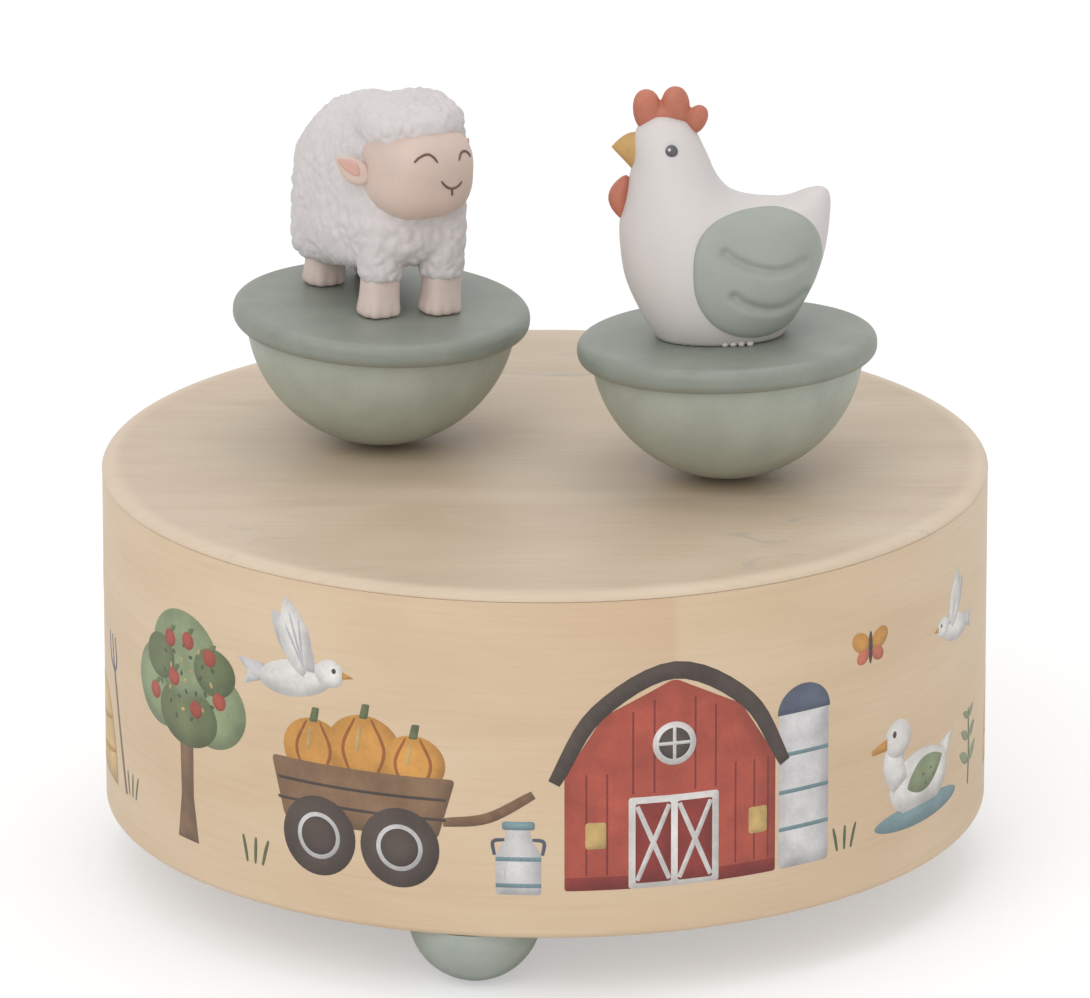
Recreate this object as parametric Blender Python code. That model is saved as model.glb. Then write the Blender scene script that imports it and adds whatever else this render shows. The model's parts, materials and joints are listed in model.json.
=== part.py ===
"""A wooden drum music box whose hidden magnets make two farm animals dance on its lid.

Units are metres and +Z is up. The drum's axis is the Z axis, z = 0 is the surface
that the feet stand on, and -Y is the front.
"""

from math import atan2, cos, pi, radians, sin, sqrt

import bmesh
import bpy
from mathutils import Matrix, Vector

# Clearances
GAP = 0.0003
OVERRUN = 0.002

# Screws
SCREW_CROWN_SHARE = 0.7

# Drum
DRUM_RADIUS = 0.0575
DRUM_HEIGHT = 0.0458
DRUM_FOOT_TAPER = 0.00013
WALL_THICKNESS = 0.008
WALL_SKIRT = 0.003
WALL_EDGE = 0.0010
DRUM_SIDES = 60

# Top plate
TOP_THICKNESS = 0.0030
TOP_LIP = 0.0008
TOP_EDGE_WIDTH = 0.0035

# Base plate and its fixings
BASE_THICKNESS = 0.006
KEY_OPENING_RADIUS = 0.015
BASE_SCREW_COUNT = 3
BASE_SCREW_HEAD_RADIUS = 0.0018
BASE_SCREW_SHANK_RADIUS = 0.0010
BASE_SCREW_LENGTH = 0.012
BASE_SCREW_HEAD_HEIGHT = 0.0014
BASE_SCREW_TURN = radians(40)

# Feet
FOOT_RADIUS = 0.0085
FOOT_HEIGHT = 0.0085
FOOT_PAD_RADIUS = 0.0012
FOOT_SIDE_INSET = 0.0006
FOOT_COUNT = 3
FOOT_TURN = radians(-100.6)
FOOT_PEG_RADIUS = 0.003
FOOT_PEG_LENGTH = 0.0045

# Bedplate of the movement
BED_THICKNESS = 0.002
BED_RIM = 0.0054
BED_WALL_CLEARANCE = 0.0025
BED_END_MARGIN = 0.0023
BED_COMB_MARGIN = 0.00015
BED_FAN_MARGIN = 0.0071
BED_CORNER = 0.0095
BED_SCREW_INSET = 0.0025
BED_SCREW_HEAD_RADIUS = 0.0019
BED_SCREW_SHANK_RADIUS = 0.0011
BED_SCREW_LENGTH = 0.0065
BED_SCREW_HEAD_HEIGHT = 0.0012
POST_THICKNESS = 0.0018
POST_HALF_WIDTH = 0.0032
LUG_HALF_WIDTH = 0.0018

# Winding arbor and key
ARBOR_RADIUS = 0.002
ARBOR_HUB_RADIUS = 0.0032
RATCHET_TEETH = 12
RATCHET_RADIUS = 0.006
RATCHET_TOOTH = 0.0009
RATCHET_THICKNESS = 0.0009
CLICK_LENGTH = 0.008
CLICK_WIDTH = 0.0022
CLICK_THICKNESS = 0.0007
KEY_GROUND_CLEARANCE = 0.0025
KEY_HALF_SPAN = 0.0125
KEY_HEIGHT = 0.0095
KEY_WAIST_SHARE = 0.62
KEY_WING_SHARE = 0.55
KEY_BLADE_THICKNESS = 0.002
KEY_HUB_RADIUS = 0.0036
KEY_HUB_HEIGHT = 0.0085

# Barrel, mainspring and crown gear
BARREL_RADIUS = 0.012
BARREL_WALL = 0.0009
BARREL_COVER_THICKNESS = 0.0009
SPRING_THICKNESS = 0.0003
SPRING_TURNS = 5
SPRING_CLEARANCE = 0.0006
CROWN_TEETH = 36
CROWN_CLEARANCE = 0.0009
CROWN_FACE_WIDTH = 0.0022
PINION_FACE_SHARE = 0.8
CROWN_RIM_THICKNESS = 0.0014
SHAFT_RADIUS = 0.0022
SHAFT_FLANGE_RADIUS = 0.005
SHAFT_FLANGE_THICKNESS = 0.0012

# Gear proportions, as shares of a tooth's pitch
TOOTH_ROOT_SHARE = 0.46
TOOTH_TIP_SHARE = 0.22
ADDENDUM_SHARE = 0.18
DEDENDUM_SHARE = 0.30

# Pinned cylinder
CYLINDER_RADIUS = 0.0062
CYLINDER_CROWN_CLEARANCE = 0.0044
CYLINDER_TRACKS = 18
CYLINDER_STEPS = 20
CYLINDER_ARBOR_RADIUS = 0.0011
PIN_HEIGHT = 0.0005
PIN_INSET = 0.0004
PINION_TEETH = 12
WHEEL_TEETH = 36
WHEEL_PITCH_RADIUS = 0.008
WHEEL_THICKNESS = 0.0012

# Tuned comb
COMB_THICKNESS = 0.0009
COMB_BACK_DEPTH = 0.0060
COMB_LONG_TOOTH = 0.0100
COMB_SHORT_TOOTH = 0.0055
COMB_SLOT_SHARE = 0.22
COMB_TIP_CLEARANCE = 0.00015
COMB_SCREW_HEAD_RADIUS = 0.0016
COMB_SCREW_SHANK_RADIUS = 0.0009
COMB_SCREW_HEAD_HEIGHT = 0.0011
COMB_SCREW_LENGTH = 0.0040

# Governor
GOVERNOR_PINION_TEETH = 9
GOVERNOR_ARBOR_RADIUS = 0.0006
WORM_WHEEL_TEETH = 16
WORM_WHEEL_PITCH_RADIUS = 0.0029
WORM_WHEEL_THICKNESS = 0.0008
GOVERNOR_SPAN = 0.0040
WORM_PITCH_RADIUS = 0.0015
WORM_STARTS = 2
WORM_LENGTH = 0.0050
FLY_SHAFT_RADIUS = 0.0005
VANE_HALF_SPAN = 0.0045
VANE_HEIGHT = 0.0030
VANE_THICKNESS = 0.0006
VANE_HUB_RADIUS = 0.0012
BRACKET_WIDTH = 0.0036
BRACKET_THICKNESS = 0.0014
BRACKET_SCREW_HEAD_RADIUS = 0.0014
BRACKET_SCREW_SHANK_RADIUS = 0.0008
BRACKET_SCREW_HEAD_HEIGHT = 0.0009
BRACKET_SCREW_LENGTH = 0.0022

# Rotor under the top plate
ROTOR_RIM = 0.0014
ROTOR_THICKNESS = 0.002
ROTOR_TOP_CLEARANCE = 0.0008
ROTOR_ROOM = 0.0172
MAGNET_RADIUS = 0.005
MAGNET_HEIGHT = 0.003
ROTOR_SCREW_HEAD_RADIUS = 0.0032
ROTOR_SCREW_SHANK_RADIUS = 0.0011
ROTOR_SCREW_HEAD_HEIGHT = 0.0012
ROTOR_SCREW_LENGTH = 0.006

# Rockers, alike under both animals
ROCKER_RADIUS = 0.0174
BOWL_HEIGHT = 0.0152
CAP_RADIUS = 0.0193
CAP_THICKNESS = 0.0033
CAP_EDGE = 0.0014
CAP_PEG_RADIUS = 0.0038
CAP_PEG_LENGTH = 0.0060
ROCKER_MAGNET_RADIUS = 0.004
ROCKER_MAGNET_HEIGHT = 0.003
ROCKER_FLOOR = 0.0020
ROCKER_SIDES = 32

# Where the animals stand and how they lean
SHEEP_ORBIT_RADIUS = 0.02225
SHEEP_ORBIT_ANGLE = radians(162)
SHEEP_HEADING = radians(-58)
SHEEP_LEAN_RIGHT = radians(2.5)
SHEEP_LEAN_FRONT = radians(0.6)
HEN_ORBIT_RADIUS = 0.0246
HEN_ORBIT_ANGLE = radians(-18)
HEN_HEADING = radians(180)
HEN_LEAN_RIGHT = radians(-1.9)
HEN_LEAN_FRONT = radians(-2.4)

# Sheep: x runs along its heading, y to its left, z up from the cap
SHEEP_LENGTH = 0.0258
SHEEP_WIDTH = 0.0166
SHEEP_BACK_HEIGHT = 0.0268
SHEEP_CROWN_RISE = 0.0028
SHEEP_BELLY_HEIGHT = 0.0042
SHEEP_BELLY_SLOPE = 0.0014
SHEEP_CENTRE_X = -0.0039
SHEEP_CENTRE_Y = 0.0015
PLAN_ROUNDNESS = 2.6
RUMP_ROUNDNESS = 2.0
HEAD_ROUNDNESS = 4.0
BACK_ROUNDNESS = 2.2
BELLY_ROUNDNESS = 3.2
FACE_LENGTH_RADIUS = 0.0070
FACE_WIDTH_RADIUS = 0.0066
FACE_HEIGHT_RADIUS = 0.0062
FACE_CENTRE_X = 0.0072
FACE_CENTRE_Z = 0.0186
EAR_DEPTH_RADIUS = 0.0011
EAR_WIDTH_RADIUS = 0.0022
EAR_HEIGHT_RADIUS = 0.0016
EAR_CENTRE_X = 0.0034
EAR_CENTRE_Z = 0.0200
EAR_RISE = radians(29)
EAR_SWEEP = radians(38)
LEG_TOP_RADIUS = 0.0025
LEG_FOOT_RADIUS = 0.0029
LEG_SOCKET_DEPTH = 0.0046
LEG_SPOT_SHARES = ((0.337, -0.295), (0.419, 0.187), (-0.233, -0.235), (-0.256, 0.235))

# Hen: x runs towards the beak, y to its left, z up from the cap
HEN_LENGTH = 0.0271
HEN_HEIGHT = 0.0288
HEN_WIDTH = 0.0190
HEN_HEAD_WIDTH = 0.0120
HEN_CENTRE_SHARES = (0.060, 0.380)
HEN_OUTLINE_SHARES = (
    (0.492, 0.431), (0.488, 0.545), (0.455, 0.665), (0.422, 0.800), (0.406, 0.930),
    (0.345, 0.990), (0.255, 1.0), (0.160, 0.958), (0.095, 0.840), (0.045, 0.728), (-0.030, 0.655),
    (-0.150, 0.626), (-0.290, 0.620), (-0.410, 0.656), (-0.485, 0.655), (-0.510, 0.590),
    (-0.485, 0.410), (-0.440, 0.267), (-0.385, 0.163), (-0.300, 0.040), (-0.180, -0.090), (0.050, -0.130),
    (0.250, -0.090), (0.345, 0.020), (0.418, 0.146), (0.472, 0.280),
)
HEN_FULLNESS = 0.85
HEN_NECK_START_SHARE = 0.45
HEN_NECK_SPAN_SHARE = 0.4
HEN_SKIN = 0.0007
WING_BED = 0.0012
WING_LENGTH = 0.0167
WING_HEIGHT = 0.0164
WING_CENTRE_X = -0.00425
WING_CENTRE_Z = 0.0092
WING_TOP_ROUNDNESS = 3.0
WING_BOTTOM_ROUNDNESS = 2.05
COMB_THICK = 0.0030
COMB_ROOT_RADIUS = 0.0026
COMB_ROOT_X = 0.0066
COMB_ROOT_Z = 0.0270
COMB_LOBE_RADIUS = 0.0017
COMB_LOBE_TURNS = (radians(62), radians(102), radians(151))
COMB_LOBE_REACHES = (0.0046, 0.0043, 0.0042)
BEAK_RADIUS = 0.0024
BEAK_LENGTH = 0.0035
BEAK_BEND_RADIUS_SHARE = 0.72
BEAK_BEND_LENGTH_SHARE = 0.55
BEAK_ROOT_X = 0.0106
BEAK_ROOT_Z = 0.0246
BEAK_RISE = radians(8)
WATTLE_DEPTH_RADIUS = 0.0015
WATTLE_WIDTH_RADIUS = 0.0014
WATTLE_HEIGHT_RADIUS = 0.0029
WATTLE_CENTRE_X = 0.0133
WATTLE_CENTRE_Z = 0.0185

# Levels and sizes that follow
DRUM_BASE_Z = FOOT_HEIGHT
DRUM_TOP_Z = DRUM_BASE_Z + DRUM_HEIGHT
WALL_TOP_Z = DRUM_TOP_Z - TOP_LIP - GAP
WALL_INNER_RADIUS = DRUM_RADIUS - WALL_THICKNESS
SKIRT_RADIUS = DRUM_RADIUS - WALL_SKIRT
BASE_TOP_Z = DRUM_BASE_Z + BASE_THICKNESS
BASE_RADIUS = SKIRT_RADIUS - GAP
BASE_SCREW_PITCH_RADIUS = (WALL_INNER_RADIUS + SKIRT_RADIUS) / 2
FOOT_PITCH_RADIUS = DRUM_RADIUS - FOOT_SIDE_INSET - FOOT_RADIUS
BED_LOW_Z = BASE_TOP_Z + GAP
BED_TOP_Z = BED_LOW_Z + BED_THICKNESS
ROTOR_TOP_Z = DRUM_TOP_Z - TOP_THICKNESS - ROTOR_TOP_CLEARANCE - MAGNET_HEIGHT / 2
ROTOR_LOW_Z = ROTOR_TOP_Z - ROTOR_THICKNESS
ROTOR_RADIUS = max(SHEEP_ORBIT_RADIUS, HEN_ORBIT_RADIUS) + MAGNET_RADIUS + ROTOR_RIM
RATCHET_LOW_Z = BED_TOP_Z + GAP
BARREL_LOW_Z = RATCHET_LOW_Z + RATCHET_THICKNESS + GAP
BARREL_TOP_Z = ROTOR_LOW_Z - ROTOR_ROOM
COVER_TOP_Z = BARREL_TOP_Z + GAP + BARREL_COVER_THICKNESS
CROWN_MEAN_RADIUS = BARREL_RADIUS + CROWN_CLEARANCE + CROWN_FACE_WIDTH / 2
CROWN_PITCH = 2 * pi * CROWN_MEAN_RADIUS / CROWN_TEETH
PINION_PITCH_RADIUS = CROWN_MEAN_RADIUS * PINION_TEETH / CROWN_TEETH
CROWN_PLANE_Z = COVER_TOP_Z - BARREL_COVER_THICKNESS
AXIS_Z = CROWN_PLANE_Z + PINION_PITCH_RADIUS
CROWN_OUTER_RADIUS = CROWN_MEAN_RADIUS + CROWN_FACE_WIDTH / 2
CROWN_INNER_RADIUS = CROWN_MEAN_RADIUS - CROWN_FACE_WIDTH / 2
CROWN_LOW_Z = CROWN_PLANE_Z - DEDENDUM_SHARE * CROWN_PITCH - CROWN_RIM_THICKNESS
GOVERNOR_PITCH_RADIUS = WHEEL_PITCH_RADIUS * GOVERNOR_PINION_TEETH / WHEEL_TEETH
GOVERNOR_Y = WHEEL_PITCH_RADIUS + GOVERNOR_PITCH_RADIUS
WORM_PITCH = 2 * pi * WORM_WHEEL_PITCH_RADIUS / WORM_WHEEL_TEETH
FLY_Y = GOVERNOR_Y + WORM_WHEEL_PITCH_RADIUS + WORM_PITCH_RADIUS
BED_ROUND_RADIUS = CROWN_OUTER_RADIUS + BED_RIM
BED_REACH = WALL_INNER_RADIUS - BED_WALL_CLEARANCE
BED_FAN_SIDE = FLY_Y + BED_FAN_MARGIN
OUTER_POST_X = BED_REACH - BED_END_MARGIN - POST_THICKNESS / 2
WHEEL_X = OUTER_POST_X - POST_THICKNESS / 2 - GAP - WHEEL_THICKNESS / 2
WORM_WHEEL_X = WHEEL_X - GOVERNOR_SPAN
CYLINDER_START_X = CROWN_OUTER_RADIUS + CYLINDER_CROWN_CLEARANCE
CYLINDER_END_X = WHEEL_X - WHEEL_THICKNESS / 2 - GAP
CYLINDER_LENGTH = CYLINDER_END_X - CYLINDER_START_X
INNER_POST_X = (CROWN_OUTER_RADIUS + CYLINDER_START_X) / 2
LUG_X = WORM_WHEEL_X - WORM_WHEEL_THICKNESS / 2 - 2 * GAP - POST_THICKNESS / 2
PIN_CIRCLE_RADIUS = CYLINDER_RADIUS + PIN_HEIGHT
COMB_TIP_Y = -(PIN_CIRCLE_RADIUS + COMB_TIP_CLEARANCE)
COMB_BACK_Y = COMB_TIP_Y - COMB_LONG_TOOTH
COMB_LOW_Z = AXIS_Z - COMB_THICKNESS / 2
PEDESTAL_Y = COMB_BACK_Y - COMB_BACK_DEPTH / 2
BED_COMB_SIDE = COMB_BACK_DEPTH + BED_COMB_MARGIN - COMB_BACK_Y
ROCKER_CENTRE_Z = DRUM_TOP_Z + GAP + ROCKER_RADIUS
BOWL_TOP = BOWL_HEIGHT - ROCKER_RADIUS
CAP_LOW = BOWL_TOP + GAP
CAP_TOP = BOWL_TOP + CAP_THICKNESS
STAND = CAP_TOP + GAP


def clear_scene():
    """Empty the scene that the script runs in."""
    for thing in list(bpy.data.objects):
        bpy.data.objects.remove(thing, do_unlink=True)


def material(name, colour, roughness, metallic=0.0):
    """A plain surface of one colour."""
    made = bpy.data.materials.new(name)
    made.use_nodes = True
    shader = made.node_tree.nodes["Principled BSDF"]
    shader.inputs["Base Color"].default_value = (*colour, 1.0)
    shader.inputs["Roughness"].default_value = roughness
    shader.inputs["Metallic"].default_value = metallic
    return made


def joint_empty(name, place, turn=None, parent=None):
    """An empty on a joint's axis, which carries the pieces that turn on it."""
    empty = bpy.data.objects.new(name, None)
    bpy.context.collection.objects.link(empty)
    empty.location = place
    if turn is not None:
        empty.rotation_euler = turn.to_euler()
    if parent is not None:
        empty.parent = parent
    return empty


def piece(name, bm, surface, parent=None, place=(0, 0, 0), turn=None, cutter=False):
    """Turn a bmesh into a named object, or into a hidden cutter."""
    bmesh.ops.recalc_face_normals(bm, faces=bm.faces)
    mesh = bpy.data.meshes.new(name)
    bm.to_mesh(mesh)
    bm.free()
    thing = bpy.data.objects.new(name, mesh)
    bpy.context.collection.objects.link(thing)
    thing.location = place
    if turn is not None:
        thing.rotation_euler = turn.to_euler()
    if parent is not None:
        thing.parent = parent
    if cutter:
        thing.hide_render = True
        thing.display_type = "WIRE"
        return thing
    mesh.materials.append(surface)
    mesh.shade_smooth()
    mesh.set_sharp_from_angle(angle=radians(32))
    return thing


def combine(target, other, operation):
    """Join, cut or intersect an object with another one, kept as a modifier."""
    change = target.modifiers.new(operation.title(), "BOOLEAN")
    change.operation = operation
    change.object = other
    change.solver = "EXACT"


def circle(radius, sides, x=0.0, y=0.0, start=0.0):
    """Points round a circle, counter-clockwise."""
    turns = [start + 2 * pi * i / sides for i in range(sides)]
    return [(x + radius * cos(a), y + radius * sin(a)) for a in turns]


def arc(centre, radii, start, end, steps):
    """Points along part of an ellipse, both ends included."""
    turns = [start + (end - start) * i / steps for i in range(steps + 1)]
    return [(centre[0] + radii[0] * cos(a), centre[1] + radii[1] * sin(a)) for a in turns]


def add_loft(bm, rings, closed=False):
    """Skin a row of rings; a ring of one point is a pole, and open ends get caps."""
    rows = [[bm.verts.new(p) for p in ring] for ring in rings]
    pairs = list(zip(rows, rows[1:]))
    if closed:
        pairs.append((rows[-1], rows[0]))
    for low, high in pairs:
        count = max(len(low), len(high))
        for i in range(count):
            j = (i + 1) % count
            corners = [low[i % len(low)], low[j % len(low)]]
            corners += [high[j % len(high)], high[i % len(high)]]
            bm.faces.new(list(dict.fromkeys(corners)))
    if not closed:
        for row in (rows[0], rows[-1]):
            if len(row) > 2:
                bm.faces.new(row)
    return bm


def add_lathe(bm, profile, sides, closed=False, x=0.0, y=0.0):
    """Turn a profile of (radius, height) points about an upright axis."""
    rings = []
    for radius, z in profile:
        if radius == 0:
            rings.append([(x, y, z)])
        else:
            rings.append([(px, py, z) for px, py in circle(radius, sides, x, y)])
    return add_loft(bm, rings, closed)


def lathe(profile, sides, closed=False):
    """A fresh bmesh with one turned body."""
    return add_lathe(bmesh.new(), profile, sides, closed)


def slab(outline, low, high, holes=()):
    """A flat plate of any outline, with holes right through it."""
    bm = bmesh.new()
    edges = {low: [], high: []}
    for loop in (outline, *holes):
        rows = []
        for z in (low, high):
            row = [bm.verts.new((x, y, z)) for x, y in loop]
            edges[z] += [bm.edges.new((a, b)) for a, b in zip(row, row[1:] + row[:1])]
            rows.append(row)
        for i in range(len(loop)):
            j = (i + 1) % len(loop)
            bm.faces.new((rows[0][i], rows[0][j], rows[1][j], rows[1][i]))
    for z in (low, high):
        bmesh.ops.triangle_fill(bm, use_beauty=True, use_dissolve=False, edges=edges[z])
    return bm


def box(x_range, y_range, z_range):
    """A plain block between three pairs of limits."""
    (x0, x1), (y0, y1) = x_range, y_range
    return slab([(x0, y0), (x1, y0), (x1, y1), (x0, y1)], *z_range)


def ellipsoid(radii, centre, sides=20, rings=12, turn=None):
    """A ball stretched along its three axes."""
    bm = bmesh.new()
    bmesh.ops.create_uvsphere(bm, u_segments=sides, v_segments=rings, radius=1)
    shape = Matrix.Diagonal((*radii, 1))
    if turn is not None:
        shape = turn.to_4x4() @ shape
    bmesh.ops.transform(bm, matrix=Matrix.Translation(centre) @ shape, verts=bm.verts)
    return bm


def along_x(bm, x=0.0, y=0.0, z=0.0):
    """Lay a body that was made upright along +X, its own +X pointing down."""
    turn = Matrix.Rotation(radians(90), 4, "Y")
    bmesh.ops.transform(bm, matrix=Matrix.Translation((x, y, z)) @ turn, verts=bm.verts)
    return bm


def gear_outline(teeth, pitch_radius, gap_direction):
    """Tooth flanks round a spur gear, with a gap centred on the given direction."""
    pitch = 2 * pi * pitch_radius / teeth
    root = pitch_radius - DEDENDUM_SHARE * pitch
    tip = pitch_radius + ADDENDUM_SHARE * pitch
    points = []
    for i in range(teeth):
        middle = gap_direction + (2 * i + 1) * pi / teeth
        for radius, side in ((root, -TOOTH_ROOT_SHARE), (tip, -TOOTH_TIP_SHARE),
                             (tip, TOOTH_TIP_SHARE), (root, TOOTH_ROOT_SHARE)):
            angle = middle + side * pi / teeth
            points.append((radius * cos(angle), radius * sin(angle)))
    return points


def screw_body(x, y, seat_z, head, shank, up=True):
    """A pan head screw; head and shank are (radius, length), and the head sits on seat_z."""
    way = 1 if up else -1
    head_radius, head_height = head
    shank_radius, length = shank
    crown = seat_z + way * head_height
    shoulder = seat_z + way * head_height / 2
    profile = [(0, crown), (head_radius * SCREW_CROWN_SHARE, crown), (head_radius, shoulder),
               (head_radius, seat_z), (shank_radius, seat_z),
               (shank_radius, seat_z - way * (length - shank_radius)), (0, seat_z - way * length)]
    return add_lathe(bmesh.new(), profile, 8, x=x, y=y)


def drill_body(bm, x, y, radius, low, high):
    """Add a plain round bit for drilling holes."""
    return add_lathe(bm, [(0, low), (radius, low), (radius, high), (0, high)], 12, x=x, y=y)


def ring_spots(radius, count, start):
    """Places at equal steps round the drum's axis."""
    return circle(radius, count, start=start)


def make_drum(paint):
    """Wall, top plate, base plate, feet and the screws of the base."""
    low = DRUM_BASE_Z
    foot_radius = DRUM_RADIUS - DRUM_FOOT_TAPER
    shoulder = BASE_TOP_Z + GAP
    edge = arc((foot_radius - WALL_EDGE, low + WALL_EDGE), (WALL_EDGE, WALL_EDGE), -pi / 2, 0, 2)
    profile = [(SKIRT_RADIUS, low), *edge, (DRUM_RADIUS, WALL_TOP_Z), (WALL_INNER_RADIUS, WALL_TOP_Z),
               (WALL_INNER_RADIUS, shoulder), (SKIRT_RADIUS, shoulder)]
    wall = piece("drum_wall", lathe(profile, DRUM_SIDES, closed=True), paint["side_wood"])

    seat = DRUM_TOP_Z - TOP_LIP
    under = DRUM_TOP_Z - TOP_THICKNESS
    plug = WALL_INNER_RADIUS - GAP
    edge = arc((DRUM_RADIUS - TOP_EDGE_WIDTH, seat), (TOP_EDGE_WIDTH, TOP_LIP), 0, pi / 2, 3)
    piece("top_plate", lathe([(0, under), (plug, under), (plug, seat), *edge, (0, DRUM_TOP_Z)],
                             DRUM_SIDES), paint["top_wood"])

    base = piece("base_plate", slab(circle(BASE_RADIUS, DRUM_SIDES // 2), low, BASE_TOP_Z,
                                    [circle(KEY_OPENING_RADIUS, 24)]), paint["base_wood"])
    feet = ring_spots(FOOT_PITCH_RADIUS, FOOT_COUNT, FOOT_TURN)
    holes = bmesh.new()
    for x, y in feet:
        drill_body(holes, x, y, FOOT_PEG_RADIUS + GAP, low - OVERRUN, low + FOOT_PEG_LENGTH + GAP)
    for x, y in bed_screw_spots():
        drill_body(holes, x, y, BED_SCREW_SHANK_RADIUS + GAP,
                   BED_TOP_Z - BED_SCREW_LENGTH - GAP, BASE_TOP_Z + OVERRUN)
    screws = ring_spots(BASE_SCREW_PITCH_RADIUS, BASE_SCREW_COUNT, FOOT_TURN + BASE_SCREW_TURN)
    for x, y in screws:
        wide, narrow = BASE_SCREW_HEAD_RADIUS + GAP, BASE_SCREW_SHANK_RADIUS + GAP
        step = low + BASE_SCREW_HEAD_HEIGHT + GAP
        profile = [(0, low - OVERRUN), (wide, low - OVERRUN), (wide, step), (narrow, step),
                   (narrow, BASE_TOP_Z + OVERRUN), (0, BASE_TOP_Z + OVERRUN)]
        add_lathe(holes, profile, 16, x=x, y=y)
    combine(base, piece("base_drill", holes, None, cutter=True), "DIFFERENCE")

    pilots = bmesh.new()
    for x, y in screws:
        drill_body(pilots, x, y, BASE_SCREW_SHANK_RADIUS + GAP, low, low + BASE_SCREW_LENGTH + GAP)
    combine(wall, piece("wall_drill", pilots, None, cutter=True), "DIFFERENCE")

    seat = low + BASE_SCREW_HEAD_HEIGHT
    head = (BASE_SCREW_HEAD_RADIUS, BASE_SCREW_HEAD_HEIGHT)
    shank = (BASE_SCREW_SHANK_RADIUS, BASE_SCREW_LENGTH - BASE_SCREW_HEAD_HEIGHT)
    for number, (x, y) in enumerate(screws, 1):
        piece(f"base_screw_{number}", screw_body(x, y, seat, head, shank, up=False), paint["steel"])

    lift = sqrt(FOOT_RADIUS ** 2 - FOOT_PAD_RADIUS ** 2)
    start = -atan2(lift, FOOT_PAD_RADIUS)
    dome = arc((0, 0), (FOOT_RADIUS, FOOT_RADIUS), start, 0, 5)
    profile = [(0, low - lift), *((r, low + z - GAP * (z == 0)) for r, z in dome),
               (FOOT_PEG_RADIUS, low - GAP), (FOOT_PEG_RADIUS, low + FOOT_PEG_LENGTH),
               (0, low + FOOT_PEG_LENGTH)]
    for number, (x, y) in enumerate(feet, 1):
        piece(f"foot_{number}", lathe(profile, 18), paint["foot_paint"], place=(x, y, 0))


def bed_screw_spots():
    """Two screws behind the barrel and one under the pinned cylinder."""
    reach = (BED_ROUND_RADIUS - BED_SCREW_INSET) * cos(pi / 4)
    return [(-reach, reach), (-reach, -reach), ((CYLINDER_START_X + CYLINDER_END_X) / 2, 0)]


def comb_screw_spots():
    """One screw near each end of the comb's back."""
    inset = CYLINDER_LENGTH / 5
    return [(CYLINDER_START_X + inset, PEDESTAL_Y), (CYLINDER_END_X - inset, PEDESTAL_Y)]


def upright(x, y_range, holes, low, high):
    """A standing plate across X with bearing holes, for an arbor that lies along X."""
    outline = [(-high, y_range[0]), (-low, y_range[0]), (-low, y_range[1]), (-high, y_range[1])]
    rings = [circle(radius + GAP, 12, -z, y) for y, z, radius in holes]
    bm = slab(outline, -POST_THICKNESS / 2, POST_THICKNESS / 2, rings)
    return along_x(bm, x=x)


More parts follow.
